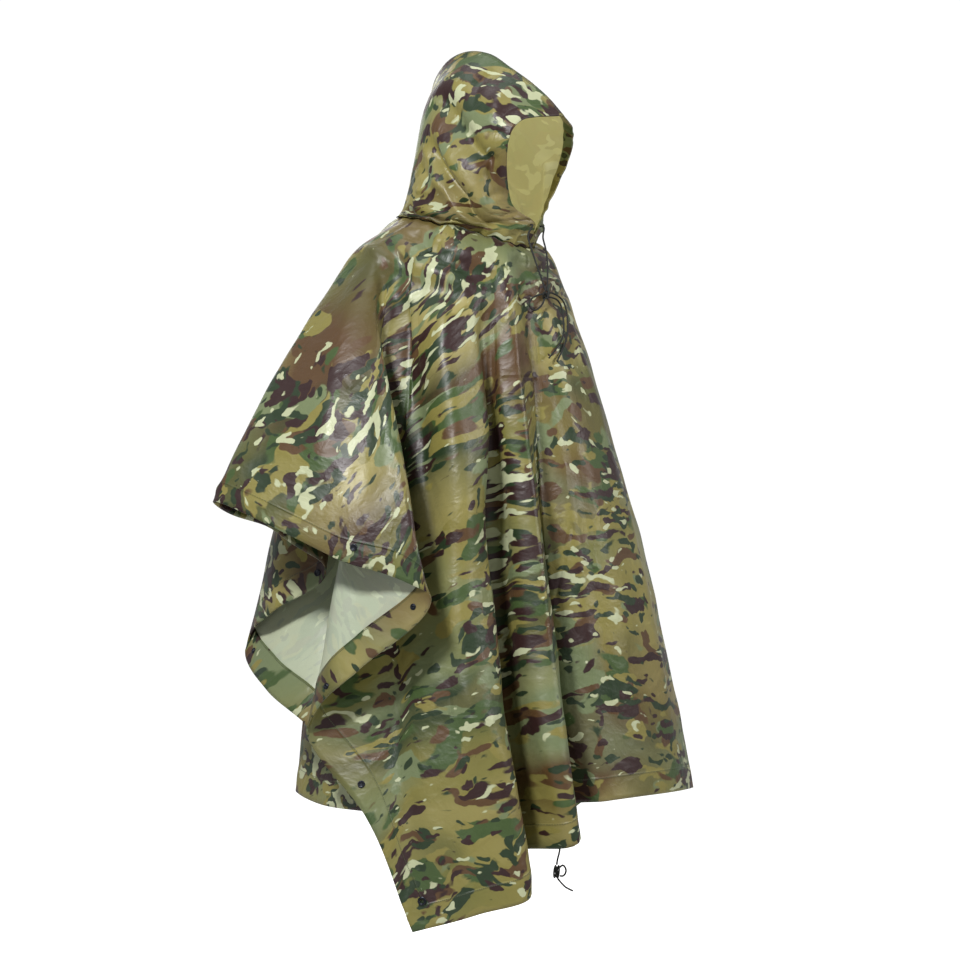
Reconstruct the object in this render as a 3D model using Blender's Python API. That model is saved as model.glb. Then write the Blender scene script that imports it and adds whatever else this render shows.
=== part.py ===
"""Rain poncho with a drawcord hood, worn, with both sides snapped together under the arms.

Metres, +Z up.  The origin is the middle of the neck, where the wearer's shoulders hold the
poncho.  The wearer faces -Y and their right side is -X.  Azimuths are degrees round the neck,
0 at the wearer's front, 90 at their right, 180 at their back.  The flat sheet has its own
coordinates: u runs to the wearer's left and v to the front, from the middle of the neck hole.
"""
import math

import bpy
import numpy as np

# ------------------------------------------------------------------ driving dimensions
HALF_WIDTH = 0.71          # flat sheet, neck to side edge
HALF_LENGTH = 1.11         # flat sheet, neck to front or back hem
CLOTH = 0.0012             # coated nylon, with its folds
GAP = 0.0003               # between pieces that touch
HEM_WIDTH = 0.042          # turned-in hem
NECK_RADIUS = 0.115        # neck seam as worn
NECK_LEVEL = 0.005         # height of the neck seam at its sides
NECK_TILT = 0.025          # the seam is this much higher behind and lower in front
FLAT_NECK = 0.12           # neck hole in the flat sheet
FLAT_SHOULDER = 0.24       # flat distance from the neck to where the cloth leaves the shoulders
RIM_FOLD = 0.025           # cord casing round the face
CORD = 0.0032              # drawcord diameter
SNAP_RADIUS = 0.0065       # ring snap cap
SNAP_HEIGHT = 0.0022
SNAP_BEVEL = 0.0008
SOCKET_RADIUS = 0.0055
SOCKET_BEVEL = 0.0006
SNAP_ROOM = 0.0085         # smallest circle of flat cloth that takes a snap
EYELET_RADIUS = 0.0075
EYELET_BARREL = 0.0046
EYELET_HOLE = 0.0036
EYELET_FLANGE = 0.0009
EYELET_CUT = 0.006         # how far its hole's cutter reaches to each side of the cloth
FOLD_ROUNDING = 1.2        # how much a tight fold's bend is opened out
NECK_SPREAD = 0.25         # how far the ribs fan at the neck toward their flat directions
NECK_DIP = 0.25            # slope of the cloth as it leaves the neck
SHOULDER_RUN = 1.3         # how far it runs out before it turns down
SHOULDER_OUT = 0.5         # how it leaves the shoulders: outward and down
SHOULDER_DOWN = 0.85
HOOD_LIP = 0.0018          # hood seam outside the sheet's neck edge
HOOD_STEP = 0.050          # from the hood's rim to its second section

SHEET_STEPS = 3            # columns for each rib
SHEET_ROWS = 11            # rows from the neck seam to the hem line
HEM_ROWS = 1               # rows across the hem
HOOD_COLUMNS = 14
HOOD_ROWS = 13
THROAT_ROW = 9             # row of the hood where the cord leaves its casing
SNAP_SIDES = 10

# One row for each fold ridge or trough of the sheet, in order along its cut edge.
# u, v: where it meets the cut edge of the flat sheet.
# az_s, r_s, z_s: where it leaves the shoulders.  az_e, r_e, z_e: where it reaches the edge.
# belly: how far it swells outward half way down.
RIBS = [
    # name                    u      v    az_s   r_s    z_s   az_e   r_e    z_e   belly
    ("left front corner",   .71,  1.11,   -72, .200, -.100,   -98, .360, -1.120, .010),
    ("left front 2",        .60,  1.11,   -62, .190, -.105,   -86, .385, -1.050, .020),
    ("left front 1",        .42,  1.11,   -48, .185, -.105,   -58, .400, -1.020, .020),
    ("front left",          .24,  1.11,   -30, .178, -.107,   -32, .406,  -.994, .018),
    ("front middle",        .06,  1.11,   -10, .172, -.110,    -6, .385,  -.985, .020),
    ("front right",       -.075,  1.11,     8, .172, -.110,    15, .345,  -.990, .010),
    ("trough 1",           -.17,  1.11,    22, .165, -.110,    25, .285, -1.005, -.010),
    ("pleat 1",            -.27,  1.11,    35, .180, -.110,    30, .392, -1.050, .012),
    ("trough 2",          -.385,  1.11,    46, .172, -.110,    47, .310, -1.080, -.010),
    ("pleat 2",            -.47,  1.11,    56, .185, -.108,    43, .410, -1.128, .010),
    ("corner panel",      -.585,  1.11,    72, .195, -.100,    56, .430, -1.158, .030),
    ("right front corner", -.71,  1.11,    86, .195, -.090,    71, .422, -1.190, .010),
    ("front edge",         -.71,   .86,    92, .195, -.082,    83, .415, -1.000, -.010),
    ("inner fold",         -.71,   .69,    97, .195, -.075,    97, .435,  -.862, .000),
    ("turned edge low",    -.71,   .61,   100, .198, -.070,    92, .445,  -.812, .012),
    ("turned edge",        -.71,   .49,   103, .203, -.062,    83, .430,  -.752, .012),
    ("wing front fold",    -.71,   .35,   109, .218, -.055,    67, .425,  -.647, .050),
    ("wing middle",        -.71,   .12,   118, .230, -.050,    87, .450,  -.570, .045),
    ("wing back fold",     -.71,  -.12,   129, .240, -.052,   119, .500,  -.483, .010),
    ("under wing",         -.71,  -.24,   134, .230, -.055,   112, .410,  -.555, .000),
    ("under wing fold",    -.71,  -.36,   138, .222, -.055,   104, .345,  -.600, -.010),
    ("back face",          -.71, -.465,   141, .217, -.055,   118, .400,  -.665, .020),
    ("back edge fold",     -.71,  -.57,   144, .213, -.055,   131, .415,  -.729, .000),
    ("back edge",          -.71,  -.69,   147, .210, -.055,   117, .412,  -.800, -.030),
    ("back join",          -.71,  -.82,   150, .205, -.055,   101, .412,  -.852, -.055),
    ("right back corner",  -.71, -1.11,   153, .200, -.055,    86, .365, -1.000, -.050),
    ("back right 1",       -.58, -1.11,   156, .196, -.052,   108, .338, -1.000, -.020),
    ("back right 2",       -.44, -1.11,   160, .192, -.050,   130, .329,  -.988, .000),
    ("back trough 1",      -.30, -1.11,   166, .185, -.050,   150, .270, -1.000, .000),
    ("back pleat 1",       -.16, -1.11,   173, .188, -.050,   165, .335, -1.010, .020),
    ("back trough 2",       .00, -1.11,   182, .182, -.050,   183, .300, -1.010, .000),
    ("back pleat 2",        .15, -1.11,   192, .190, -.050,   202, .385, -1.020, .020),
    ("back trough 3",       .28, -1.11,   201, .185, -.050,   216, .310, -1.030, .000),
    ("back pleat 3",        .42, -1.11,   210, .192, -.052,   231, .400, -1.050, .020),
    ("back trough 4",       .56, -1.11,   218, .190, -.054,   243, .310, -1.070, .000),
    ("left back corner",    .71, -1.11,   225, .195, -.058,   256, .330, -1.070, -.040),
    ("left back join",      .71,  -.82,   229, .200, -.058,   254, .345,  -.875, -.030),
    ("left back edge",      .71,  -.69,   233, .205, -.058,   243, .362,  -.830, -.010),
    ("left back fold",      .71,  -.57,   237, .210, -.058,   232, .385,  -.760, .000),
    ("left back face",      .71, -.465,   241, .214, -.058,   243, .365,  -.705, .020),
    ("left under fold",     .71,  -.36,   245, .220, -.058,   256, .312,  -.650, .000),
    ("left under wing",     .71,  -.24,   249, .228, -.058,   249, .360,  -.605, .000),
    ("left wing back",      .71,  -.10,   254, .236, -.058,   240, .420,  -.555, .005),
    ("left wing middle",    .71,   .12,   262, .236, -.062,   270, .420,  -.585, .035),
    ("left wing front",     .71,   .35,   269, .226, -.068,   292, .385,  -.665, .020),
    ("left turned edge",    .71,   .50,   273, .218, -.074,   276, .388,  -.755, .010),
    ("left inner fold",     .71,   .66,   277, .210, -.080,   262, .400,  -.850, .000),
    ("left front edge",     .71,   .86,   282, .203, -.090,   258, .365,  -.975, -.010),
]

# One row for each section of a hood half, from the rim round the face to the back seam.
# y_c, z_c: the crown seam.  Then the half's points on the way down, x outward:
# upper side, widest side, cheek and throat.  az_n: where the section meets the neck seam.
HOOD = [
    # name       y_c   z_c | upper side        | widest side       | cheek             | throat           | az_n
    ("rim",    -.196, .214,  .090, -.164, .197,  .107, -.144, .145,  .062, -.126, .056,  .008, -.141, .022,  1.5),
    ("brim",   -.163, .249,  .100, -.121, .222,  .118, -.101, .140,  .092, -.096, .052,  .055, -.119, .018,   28),
    ("fore",   -.126, .279,  .094, -.080, .245,  .117, -.058, .138,  .106, -.067, .049,  .098, -.085, .011,   52),
    ("top",    -.086, .307,  .082, -.043, .262,  .112, -.020, .140,  .108, -.038, .048,  .120, -.040, .010,   75),
    ("crown",  -.044, .334,  .078, -.012, .270,  .105,  .005, .140,  .111,  .000, .048,  .126,  .000, .012,   93),
    ("nape 1",  .004, .343,  .073,  .022, .264,  .098,  .032, .140,  .107,  .042, .048,  .120,  .045, .018,  112),
    ("nape 2",  .047, .330,  .060,  .052, .250,  .083,  .060, .137,  .090,  .078, .050,  .100,  .088, .024,  132),
    ("nape 3",  .077, .296,  .036,  .078, .226,  .055,  .084, .137,  .058,  .106, .054,  .064,  .118, .028,  154),
    ("back",    .090, .250,  .000,  .092, .196,  .000,  .096, .137,  .000,  .116, .060,  .000,  .134, .034,  180),
]

# Flat distance of each ring snap on a side hem from the shoulder line.
SNAP_V = [0.155, 0.385, 0.615, 0.845]

# Routes of the cords, chosen by hand.
HOOD_CORD_RIGHT = [
    (-.0292, -.1400, .0002), (-.0320, -.1469, -.0199), (-.0317, -.1550, -.0425),
    (-.0303, -.1628, -.0642), (-.0278, -.1706, -.0871), (-.0274, -.1755, -.1008),
]
HOOD_CORD_LEFT = [
    (.0202, -.1417, -.0007), (.0157, -.1496, -.0202), (.0085, -.1570, -.0389),
    (.0004, -.1629, -.0585), (-.0083, -.1679, -.0790), (-.0179, -.1732, -.0910),
    (-.0232, -.1755, -.1008),
]
HOOD_KNOT = (-.0252, -.1750, -.1085)
HOOD_KNOT_SIZE = (.0075, .0060, .0072)
HOOD_CORD_LOOP = [
    (-.0332, -.1753, -.1065), (-.0426, -.1734, -.1079), (-.0533, -.1656, -.1128),
    (-.0595, -.1615, -.1222), (-.0575, -.1628, -.1317), (-.0493, -.1684, -.1355),
    (-.0398, -.1741, -.1269), (-.0307, -.1754, -.1145),
]
HOOD_CORD_TAIL_1 = [
    (-.0176, -.1756, -.1110), (-.0077, -.1783, -.1119), (.0046, -.1810, -.1156),
    (.0123, -.1838, -.1255), (.0133, -.1873, -.1434), (.0052, -.1933, -.1653),
    (-.0084, -.1979, -.1856), (-.0287, -.1975, -.2042), (-.0456, -.1931, -.2207),
]
HOOD_CORD_TAIL_2 = [
    (-.0185, -.1761, -.1030), (-.0077, -.1783, -.1036), (.0076, -.1820, -.1089),
    (.0182, -.1857, -.1181), (.0226, -.1889, -.1340), (.0194, -.1933, -.1540),
    (.0096, -.1984, -.1742), (-.0038, -.2014, -.1935), (-.0197, -.2025, -.2110),
    (-.0347, -.2031, -.2267),
]
# The waist cord is sewn to the front's inner face here: flat u, and height.
WAIST_SEWN_U = -0.13
WAIST_SEWN_Z = -0.66
WAIST_SEWN_LENGTH = 0.030
WAIST_CORD = [
    (-.0842, -.2351, -.7601), (-.0877, -.2408, -.8601), (-.0910, -.2450, -.9601),
    (-.0931, -.2454, -1.0399), (-.0951, -.2441, -1.0781), (-.0975, -.2411, -1.0954),
    (-.0988, -.2401, -1.1053),
]
WAIST_KNOT = (-.0989, -.2399, -1.1173)
WAIST_KNOT_SIZE = (.0065, .0065, .0115)
WAIST_CORD_LOOP = [
    (-.0954, -.2442, -1.1098), (-.0938, -.2490, -1.1062), (-.0920, -.2528, -1.1095),
    (-.0911, -.2543, -1.1154), (-.0920, -.2528, -1.1213), (-.0937, -.2492, -1.1248),
    (-.0953, -.2444, -1.1247),
]
WAIST_CORD_TAIL = [
    (-.0974, -.2410, -1.1291), (-.0946, -.2467, -1.1367), (-.0901, -.2521, -1.1438),
    (-.0866, -.2577, -1.1477), (-.0820, -.2631, -1.1510),
]

COLOURS = {
    # name: (red, green, blue, roughness, metallic)
    "printed nylon": (.150, .160, .085, .55, 0.0),
    "hem fold":      (.125, .135, .070, .55, 0.0),
    "black cord":    (.012, .013, .012, .80, 0.0),
    "dark metal":    (.030, .032, .036, .35, 0.9),
}


def clear_scene():
    for item in list(bpy.data.objects):
        bpy.data.objects.remove(item, do_unlink=True)


def material(name):
    """A Principled BSDF with the named colour, roughness and metallic value."""
    if name in bpy.data.materials:
        return bpy.data.materials[name]
    red, green, blue, roughness, metallic = COLOURS[name]
    new = bpy.data.materials.new(name)
    new.use_nodes = True
    shader = new.node_tree.nodes["Principled BSDF"]
    shader.inputs["Base Color"].default_value = (red, green, blue, 1.0)
    shader.inputs["Roughness"].default_value = roughness
    shader.inputs["Metallic"].default_value = metallic
    return new


def add_object(name, data, finish):
    piece = bpy.data.objects.new(name, data)
    bpy.context.scene.collection.objects.link(piece)
    data.materials.append(material(finish))
    return piece


def add_mesh(name, points, faces, finish):
    mesh = bpy.data.meshes.new(name)
    mesh.from_pydata([tuple(map(float, p)) for p in points], [], faces)
    mesh.update()
    return add_object(name, mesh, finish)


# ------------------------------------------------------------------ smooth curves
def spline(values, samples):
    """Catmull-Rom curve through rows of values, read at fractional row numbers."""
    values = np.asarray(values, float)
    samples = np.asarray(samples, float)
    first = 2 * values[0] - values[1]
    last = 2 * values[-1] - values[-2]
    padded = np.concatenate([[first], values, [last]])
    k = np.clip(samples.astype(int), 0, len(values) - 2)
    s = (samples - k).reshape((-1,) + (1,) * (values.ndim - 1))
    before, start, end, after = padded[k], padded[k + 1], padded[k + 2], padded[k + 3]
    slope_in = (end - before) / 2
    slope_out = (after - start) / 2
    return hermite(s, start, end, slope_in, slope_out)


def hermite(s, start, end, slope_in, slope_out):
    return ((2 * s**3 - 3 * s**2 + 1) * start + (s**3 - 2 * s**2 + s) * slope_in
            + (-2 * s**3 + 3 * s**2) * end + (s**3 - s**2) * slope_out)


def around(azimuth, radius, height):
    a = np.radians(azimuth)
    return np.stack([-radius * np.sin(a), -radius * np.cos(a), height + 0 * a], -1)


def neck_point(azimuth):
    a = np.radians(azimuth)
    return around(azimuth, NECK_RADIUS + 0 * a, NECK_LEVEL - NECK_TILT * np.cos(a))


# ------------------------------------------------------------------ the sheet
PERIMETER = 4 * (HALF_WIDTH + HALF_LENGTH)


def along_edge(u, v):
    """Distance along the cut edge from the left front corner."""
    if v == HALF_LENGTH:
        return HALF_WIDTH - u
    if u == -HALF_WIDTH:
        return 2 * HALF_WIDTH + HALF_LENGTH - v
    if v == -HALF_LENGTH:
        return 3 * HALF_WIDTH + 2 * HALF_LENGTH + u
    return 4 * HALF_WIDTH + 3 * HALF_LENGTH + v


RIB = np.array([row[1:] for row in RIBS], float)
RIB_EDGE = RIB[:, :2]
RIB_PLACE = np.array([along_edge(u, v) for u, v in RIB_EDGE])
RIB_SHOULDER = around(RIB[:, 2], RIB[:, 3], RIB[:, 4])
RIB_END = around(RIB[:, 5], RIB[:, 6], RIB[:, 7])
RIB_BELLY = RIB[:, 8]
IS_CORNER = (np.abs(RIB_EDGE[:, 0]) == HALF_WIDTH) & (np.abs(RIB_EDGE[:, 1]) == HALF_LENGTH)
FLAT_EDGE_ANGLE = np.degrees(np.arctan2(-RIB_EDGE[:, 0], RIB_EDGE[:, 1]))
TURN = (FLAT_EDGE_ANGLE - RIB[:, 2] + 180) % 360 - 180
NECK_ANGLE = RIB[:, 2] + NECK_SPREAD * TURN
RIB_NECK = neck_point(NECK_ANGLE)


def flat_direction(azimuth):
    a = np.radians(azimuth)
    return np.stack([-np.sin(a), np.cos(a)], -1)


RIB_FLAT_NECK = FLAT_NECK * flat_direction(NECK_ANGLE)
RIB_FLAT_SHOULDER = FLAT_SHOULDER * flat_direction(RIB[:, 2])
TO_SHOULDER = np.linalg.norm(RIB_FLAT_SHOULDER - RIB_FLAT_NECK, axis=1)
TO_EDGE = np.linalg.norm(RIB_EDGE - RIB_FLAT_SHOULDER, axis=1)
SHOULDER_AT = TO_SHOULDER / (TO_SHOULDER + TO_EDGE)


def rib_points(t):
    """Every rib's point, and its flat place, at fraction t of the way from neck to edge."""
    t = np.asarray(t, float)[:, None]
    fall = np.clip((t - SHOULDER_AT) / (1 - SHOULDER_AT), 0, 1)[..., None]
    rise = np.clip(t / SHOULDER_AT, 0, 1)[..., None]
    run = RIB_END - RIB_SHOULDER
    outward = RIB_END * (1, 1, 0)
    outward = outward / np.linalg.norm(outward, axis=1)[:, None]
    hanging = RIB_SHOULDER + run * fall + outward * (4 * fall * (1 - fall) * RIB_BELLY[:, None])
    leave_neck = RIB_NECK * (1, 1, 0) / NECK_RADIUS - (0, 0, NECK_DIP)
    reach = np.linalg.norm(RIB_SHOULDER - RIB_NECK, axis=1)[:, None]
    leave_shoulder = outward * SHOULDER_OUT - (0, 0, SHOULDER_DOWN)
    yoke = hermite(rise, RIB_NECK, RIB_SHOULDER, leave_neck * reach * SHOULDER_RUN,
                   leave_shoulder * reach)
    on_yoke = (t < SHOULDER_AT)[..., None]
    flat_yoke = RIB_FLAT_NECK + (RIB_FLAT_SHOULDER - RIB_FLAT_NECK) * rise
    flat_fall = RIB_FLAT_SHOULDER + (RIB_EDGE - RIB_FLAT_SHOULDER) * fall
    return np.where(on_yoke, yoke, hanging), np.where(on_yoke, flat_yoke, flat_fall)


def rounded(slope, before, after):
    """Open out a bend where the cloth doubles back on itself."""
    size = np.linalg.norm(before, axis=-1) * np.linalg.norm(after, axis=-1)
    doubling = np.clip(-(before * after).sum(-1) / np.maximum(size, 1e-9), 0, 1)
    return slope * (1 + FOLD_ROUNDING * doubling)[..., None]


def between_ribs(values, place, sharpness):
    """Smooth closed curve through the ribs' values, sharp at the sheet's own corners."""
    count = len(RIB_PLACE)
    place = place % PERIMETER
    k = int(np.searchsorted(RIB_PLACE, place, side="right")) - 1
    ids = [(k + step) % count for step in (-1, 0, 1, 2)]
    marks = [RIB_PLACE[i] for i in ids]
    if ids[0] > k:
        marks[0] -= PERIMETER
    for n in (2, 3):
        if ids[n] < k:
            marks[n] += PERIMETER
    before, start, end, after = (values[:, i] for i in ids)
    h0, h1, h2 = np.diff(marks)
    d0, d1, d2 = (start - before) / h0, (end - start) / h1, (after - end) / h2
    slope_in = rounded((d0 * h1 + d1 * h0) / (h0 + h1), d0, d1)
    slope_out = rounded((d1 * h2 + d2 * h1) / (h1 + h2), d1, d2)
    if IS_CORNER[ids[1]]:
        slope_in = slope_in + (d1 - slope_in) * sharpness
    if IS_CORNER[ids[2]]:
        slope_out = slope_out + (d1 - slope_out) * sharpness
    return hermite((place - marks[1]) / h1, start, end, slope_in * h1, slope_out * h1)


def sheet_points(place, t):
    """Points of the worn sheet, and their flat places, down one line from neck to edge."""
    worn, flat = rib_points(t)
    sharpness = (np.asarray(t) ** 2)[:, None]
    return between_ribs(worn, place, sharpness), between_ribs(flat, place, 1.0)


def hem_fraction(place):
    """Fraction from neck to edge at which the hem's inner line is crossed."""
    lo, hi = 0.5, 1.0
    for _ in range(30):
        mid = (lo + hi) / 2
        u, v = sheet_points(place, [mid])[1][0]
        inside = abs(u) < HALF_WIDTH - HEM_WIDTH and abs(v) < HALF_LENGTH - HEM_WIDTH
        lo, hi = (mid, hi) if inside else (lo, mid)
    return lo


def sheet_places():
    places = []
    for i, start in enumerate(RIB_PLACE):
        end = RIB_PLACE[(i + 1) % len(RIB_PLACE)]
        if end <= start:
            end += PERIMETER
        places += [start + (end - start) * n / SHEET_STEPS for n in range(SHEET_STEPS)]
    return places


def sheet_grid():
    """Outer surface as columns round the sheet by rows from the neck seam to the edge."""
    columns = []
    for place in sheet_places():
        hem = hem_fraction(place)
        x = np.linspace(0, 1, SHEET_ROWS)
        t = np.concatenate([hem * (0.75 * x + 0.25 * x**2),
                            np.linspace(hem, 1, HEM_ROWS + 1)[1:]])
        columns.append(sheet_points(place, t)[0])
    return np.array(columns)


def grid_normals(grid, closed):
    """Unit normals of a grid, from its facets round each point."""
    across = np.roll(grid, -1, 0) - np.roll(grid, 1, 0)
    if not closed:
        across[0] = grid[1] - grid[0]
        across[-1] = grid[-1] - grid[-2]
    down = np.gradient(grid, axis=1)
    normal = np.cross(across, down)
    return normal / np.linalg.norm(normal, axis=2)[..., None]


def split(quad, points):
    """The two triangles of a quad, parted on its shorter diagonal."""
    a, b, c, d = quad
    if np.linalg.norm(points[a] - points[c]) <= np.linalg.norm(points[b] - points[d]):
        return (a, b, c), (a, c, d)
    return (a, b, d), (b, c, d)


def wall(name, outer, inner, closed, finish):
    """A closed cloth wall between two matching grids."""
    n, m = outer.shape[:2]
    points = np.concatenate([outer.reshape(-1, 3), inner.reshape(-1, 3)])
    back = n * m
    faces = []

    def at(i, j, layer=0):
        return layer * back + (i % n) * m + j

    spans = n if closed else n - 1
    for i in range(spans):
        for j in range(m - 1):
            quad = at(i, j), at(i, j + 1), at(i + 1, j + 1), at(i + 1, j)
            for a, b, c in split(quad, points):
                faces += [(a, b, c), (a + back, c + back, b + back)]
        for j, flip in ((0, False), (m - 1, True)):
            a, b, c, d = at(i, j), at(i + 1, j), at(i + 1, j, 1), at(i, j, 1)
            faces.append((a, b, c, d) if not flip else (a, d, c, b))
    if not closed:
        for i, flip in ((0, True), (n - 1, False)):
            for j in range(m - 1):
                a, b, c, d = at(i, j), at(i, j + 1), at(i, j + 1, 1), at(i, j, 1)
                faces.append((a, b, c, d) if not flip else (a, d, c, b))
    return add_mesh(name, points, faces, finish)


def face_outward(piece):
    """Turn the piece's faces outward if they face in."""
    mesh = piece.data
    volume = 0.0
    mesh.calc_loop_triangles()
    for tri in mesh.loop_triangles:
        a, b, c = (mesh.vertices[i].co for i in tri.vertices)
        volume += a.dot(b.cross(c))
    if volume < 0:
        mesh.flip_normals()


def make_sheet():
    grid = sheet_grid()
    normals = -grid_normals(grid, True)
    if (normals[0, 2] * grid[0, 2] * (1, 1, 0)).sum() < 0:
        normals = -normals
    sheet = wall("poncho_sheet", grid, grid - normals * CLOTH, True, "printed nylon")
    face_outward(sheet)
    return sheet, grid, normals


def make_hems(grid, normals):
    """Turned-in hems: strips on the sheet's inner face, one along each cut edge."""
    places = sheet_places()
    corners = [places.index(RIB_PLACE[i]) for i in np.flatnonzero(IS_CORNER)]
    first = SHEET_ROWS - 1
    strips = {
        "front": (corners[0], corners[1]),
        "right": (corners[1] + 1, corners[2] - 1),
        "back": (corners[2], corners[3]),
        "left": (corners[3] + 1, len(places) - 1),
    }
    hems = {}
    for name, (start, end) in strips.items():
        band = slice(start, end + 1)
        points = grid[band, first:]
        inward = normals[band, first:]
        outer = points - inward * (CLOTH + GAP)
        inner = points - inward * (2 * CLOTH + GAP)
        hems[name] = wall("hem_" + name, outer, inner, False, "hem fold")
        face_outward(hems[name])
    return hems


# ------------------------------------------------------------------ the hood
def hood_grid(columns, rows):
    """Outer surface of the left hood half: columns from rim to back seam, rows crown to neck."""
    sections = []
    for row in HOOD:
        _, y_c, z_c, *rest = row
        az_n = rest.pop()
        seam = neck_point(np.array([-az_n]))[0]
        seam = seam * (1 + HOOD_LIP / NECK_RADIUS) * (1, 1, 0) + (0, 0, seam[2] + CLOTH)
        sections.append([(0, y_c, z_c)] + [tuple(rest[i:i + 3]) for i in (0, 3, 6, 9)] + [seam])
    sections = np.array(sections, float)
    last_column = len(HOOD) - 1
    down = spline(np.moveaxis(sections, 1, 0), np.linspace(0, 5, rows))
    rim = RIM_FOLD / HOOD_STEP
    marks = np.concatenate([[0], np.linspace(rim, last_column, columns - 1)])
    return spline(np.moveaxis(down, 1, 0), marks)


def make_hood():
    grid = hood_grid(HOOD_COLUMNS, HOOD_ROWS)
    normals = grid_normals(grid, False)
    if (normals[5, 4] * grid[5, 4]).sum() < 0:
        normals = -normals
    normals[-1, 0] = normals[-2, 0]
    normals[:, 0, 0] = 0
    normals[-1, :, 0] = 0
    normals /= np.linalg.norm(normals, axis=2)[..., None]
    for side, sign in (("left", 1), ("right", -1)):
        mirror = np.array((sign, 1, 1))
        shift = np.array((sign * GAP / 2, 0, 0))
        outer = grid * mirror + shift
        inner = (grid - normals * CLOTH) * mirror + shift
        panel = wall("hood_" + side, outer, inner, False, "printed nylon")
        face_outward(panel)
        fold = grid[:2] - normals[:2] * (CLOTH + GAP)
        deep = grid[:2] - normals[:2] * (2 * CLOTH + GAP)
        casing = wall("hood_rim_fold_" + side, fold * mirror + shift, deep * mirror + shift,
                      False, "hem fold")
        face_outward(casing)
    return grid, normals


def casing_exit(grid, normals, sign):
    """Start of a hood cord: out of the casing's outer face beside the throat."""
    mirror = np.array((sign, 1, 1))
    quad = np.array([grid[0, THROAT_ROW], grid[0, THROAT_ROW + 1],
                     grid[1, THROAT_ROW + 1], grid[1, THROAT_ROW]]) * mirror
    points = quad[list(split((0, 1, 2, 3), quad)[0])]
    normal = np.cross(points[1] - points[0], points[2] - points[0])
    normal /= np.linalg.norm(normal)
    if (normal * normals[0, THROAT_ROW] * mirror).sum() < 0:
        normal = -normal
    start = points.mean(0) + normal * (GAP + CORD / 6)
    return [tuple(start), tuple(start + normal * CORD * 2.5)]


# ------------------------------------------------------------------ snaps, eyelets and cords
def lathe(name, centre, axis, profile, sides, finish):
    """Turn a profile of (radius, height) points about an axis through centre."""
    axis = np.asarray(axis) / np.linalg.norm(axis)
    helper = np.array((0, 0, 1.0)) if abs(axis[2]) < 0.9 else np.array((1.0, 0, 0))
    side = np.cross(helper, axis)
    side /= np.linalg.norm(side)
    up = np.cross(axis, side)
    points = []
    faces = []
    count = len(profile)
    for k in range(sides):
        a = 2 * math.pi * k / sides
        ray = side * math.cos(a) + up * math.sin(a)
        points += [centre + ray * r + axis * h for r, h in profile]
        for j in range(count):
            b, c = (j + 1) % count, (k + 1) % sides
            faces.append((k * count + j, k * count + b, c * count + b, c * count + j))
    piece = add_mesh(name, points, faces, finish)
    face_outward(piece)
    return piece


def disc(name, centre, axis, radius, height, crown, finish):
    """A flat-topped button: a closed turned solid with a bevelled edge."""
    axis = np.asarray(axis) / np.linalg.norm(axis)
    helper = np.array((0, 0, 1.0)) if abs(axis[2]) < 0.9 else np.array((1.0, 0, 0))
    side = np.cross(helper, axis)
    side /= np.linalg.norm(side)
    up = np.cross(axis, side)
    points = []
    levels = [(radius, 0), (radius, height - crown), (radius - crown, height)]
    for r, h in levels:
        for k in range(SNAP_SIDES):
            a = 2 * math.pi * k / SNAP_SIDES
            points.append(centre + (side * math.cos(a) + up * math.sin(a)) * r + axis * h)
    n = SNAP_SIDES
    faces = [tuple(range(n - 1, -1, -1)), tuple(range(2 * n, 3 * n))]
    for level in (0, n):
        for k in range(n):
            c = (k + 1) % n
            faces.append((level + k, level + c, level + n + c, level + n + k))
    piece = add_mesh(name, points, faces, finish)
    face_outward(piece)
    return piece


def hem_facets(grid, normals, depth):
    """The hem band's facets on one face of the cloth, depth below its outer face.

    Each is its columns, its corners, its marks and its outward normal.  A mark is a corner's
    place along the edge and its share of the way across the band.
    """
    layer = (grid - normals * depth)[:, -2:]
    places = sheet_places()
    facets = []
    for i, place in enumerate(places):
        k = (i + 1) % len(places)
        step = (places[k] - place) % PERIMETER
        quad = np.array([layer[i, 0], layer[i, 1], layer[k, 1], layer[k, 0]])
        marks = np.array([(place, 0), (place, 1), (place + step, 1), (place + step, 0)])
        for ids in split((0, 1, 2, 3), quad):
            corners = quad[list(ids)]
            normal = np.cross(corners[1] - corners[0], corners[2] - corners[0])
            normal /= np.linalg.norm(normal)
            if (normal * normals[i, -1]).sum() < 0:
                normal = -normal
            facets.append(([(i, i, k, k)[n] for n in ids], corners, marks[list(ids)], normal))
    return facets


def middle(corners, values):
    """A facet's values at the middle of the circle that fits inside it."""
    sides = np.linalg.norm(np.roll(corners, 1, 0) - np.roll(corners, -1, 0), axis=1)
    return (values * sides[:, None]).sum(0) / sides.sum()


def hem_spot(facets, place):
    """The point of the hem nearest the middle of the band at a place, with flat cloth for a snap."""
    steps = 8
    weights = np.array([(i, j, steps - i - j) for i in range(steps + 1)
                        for j in range(steps + 1 - i)]) / steps
    best = None
    for _, corners, marks, normal in facets:
        if abs(marks[:, 0] - place).min() > HEM_WIDTH * 3:
            continue
        sides = np.linalg.norm(np.roll(corners, 1, 0) - np.roll(corners, -1, 0), axis=1)
        edge_area = np.linalg.norm(np.cross(corners[1] - corners[0], corners[2] - corners[0]))
        shrink = 1 - SNAP_ROOM * sides.sum() / edge_area
        if shrink <= 0:
            continue
        centre, mark = middle(corners, corners), middle(corners, marks)
        points = weights @ (centre + (corners - centre) * shrink)
        spots = weights @ (mark + (marks - mark) * shrink)
        miss = np.hypot(spots[:, 0] - place, (spots[:, 1] - 0.5) * HEM_WIDTH)
        k = int(miss.argmin())
        if best is None or miss[k] < best[0]:
            best = miss[k], points[k], normal
    return best[1], best[2]


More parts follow.
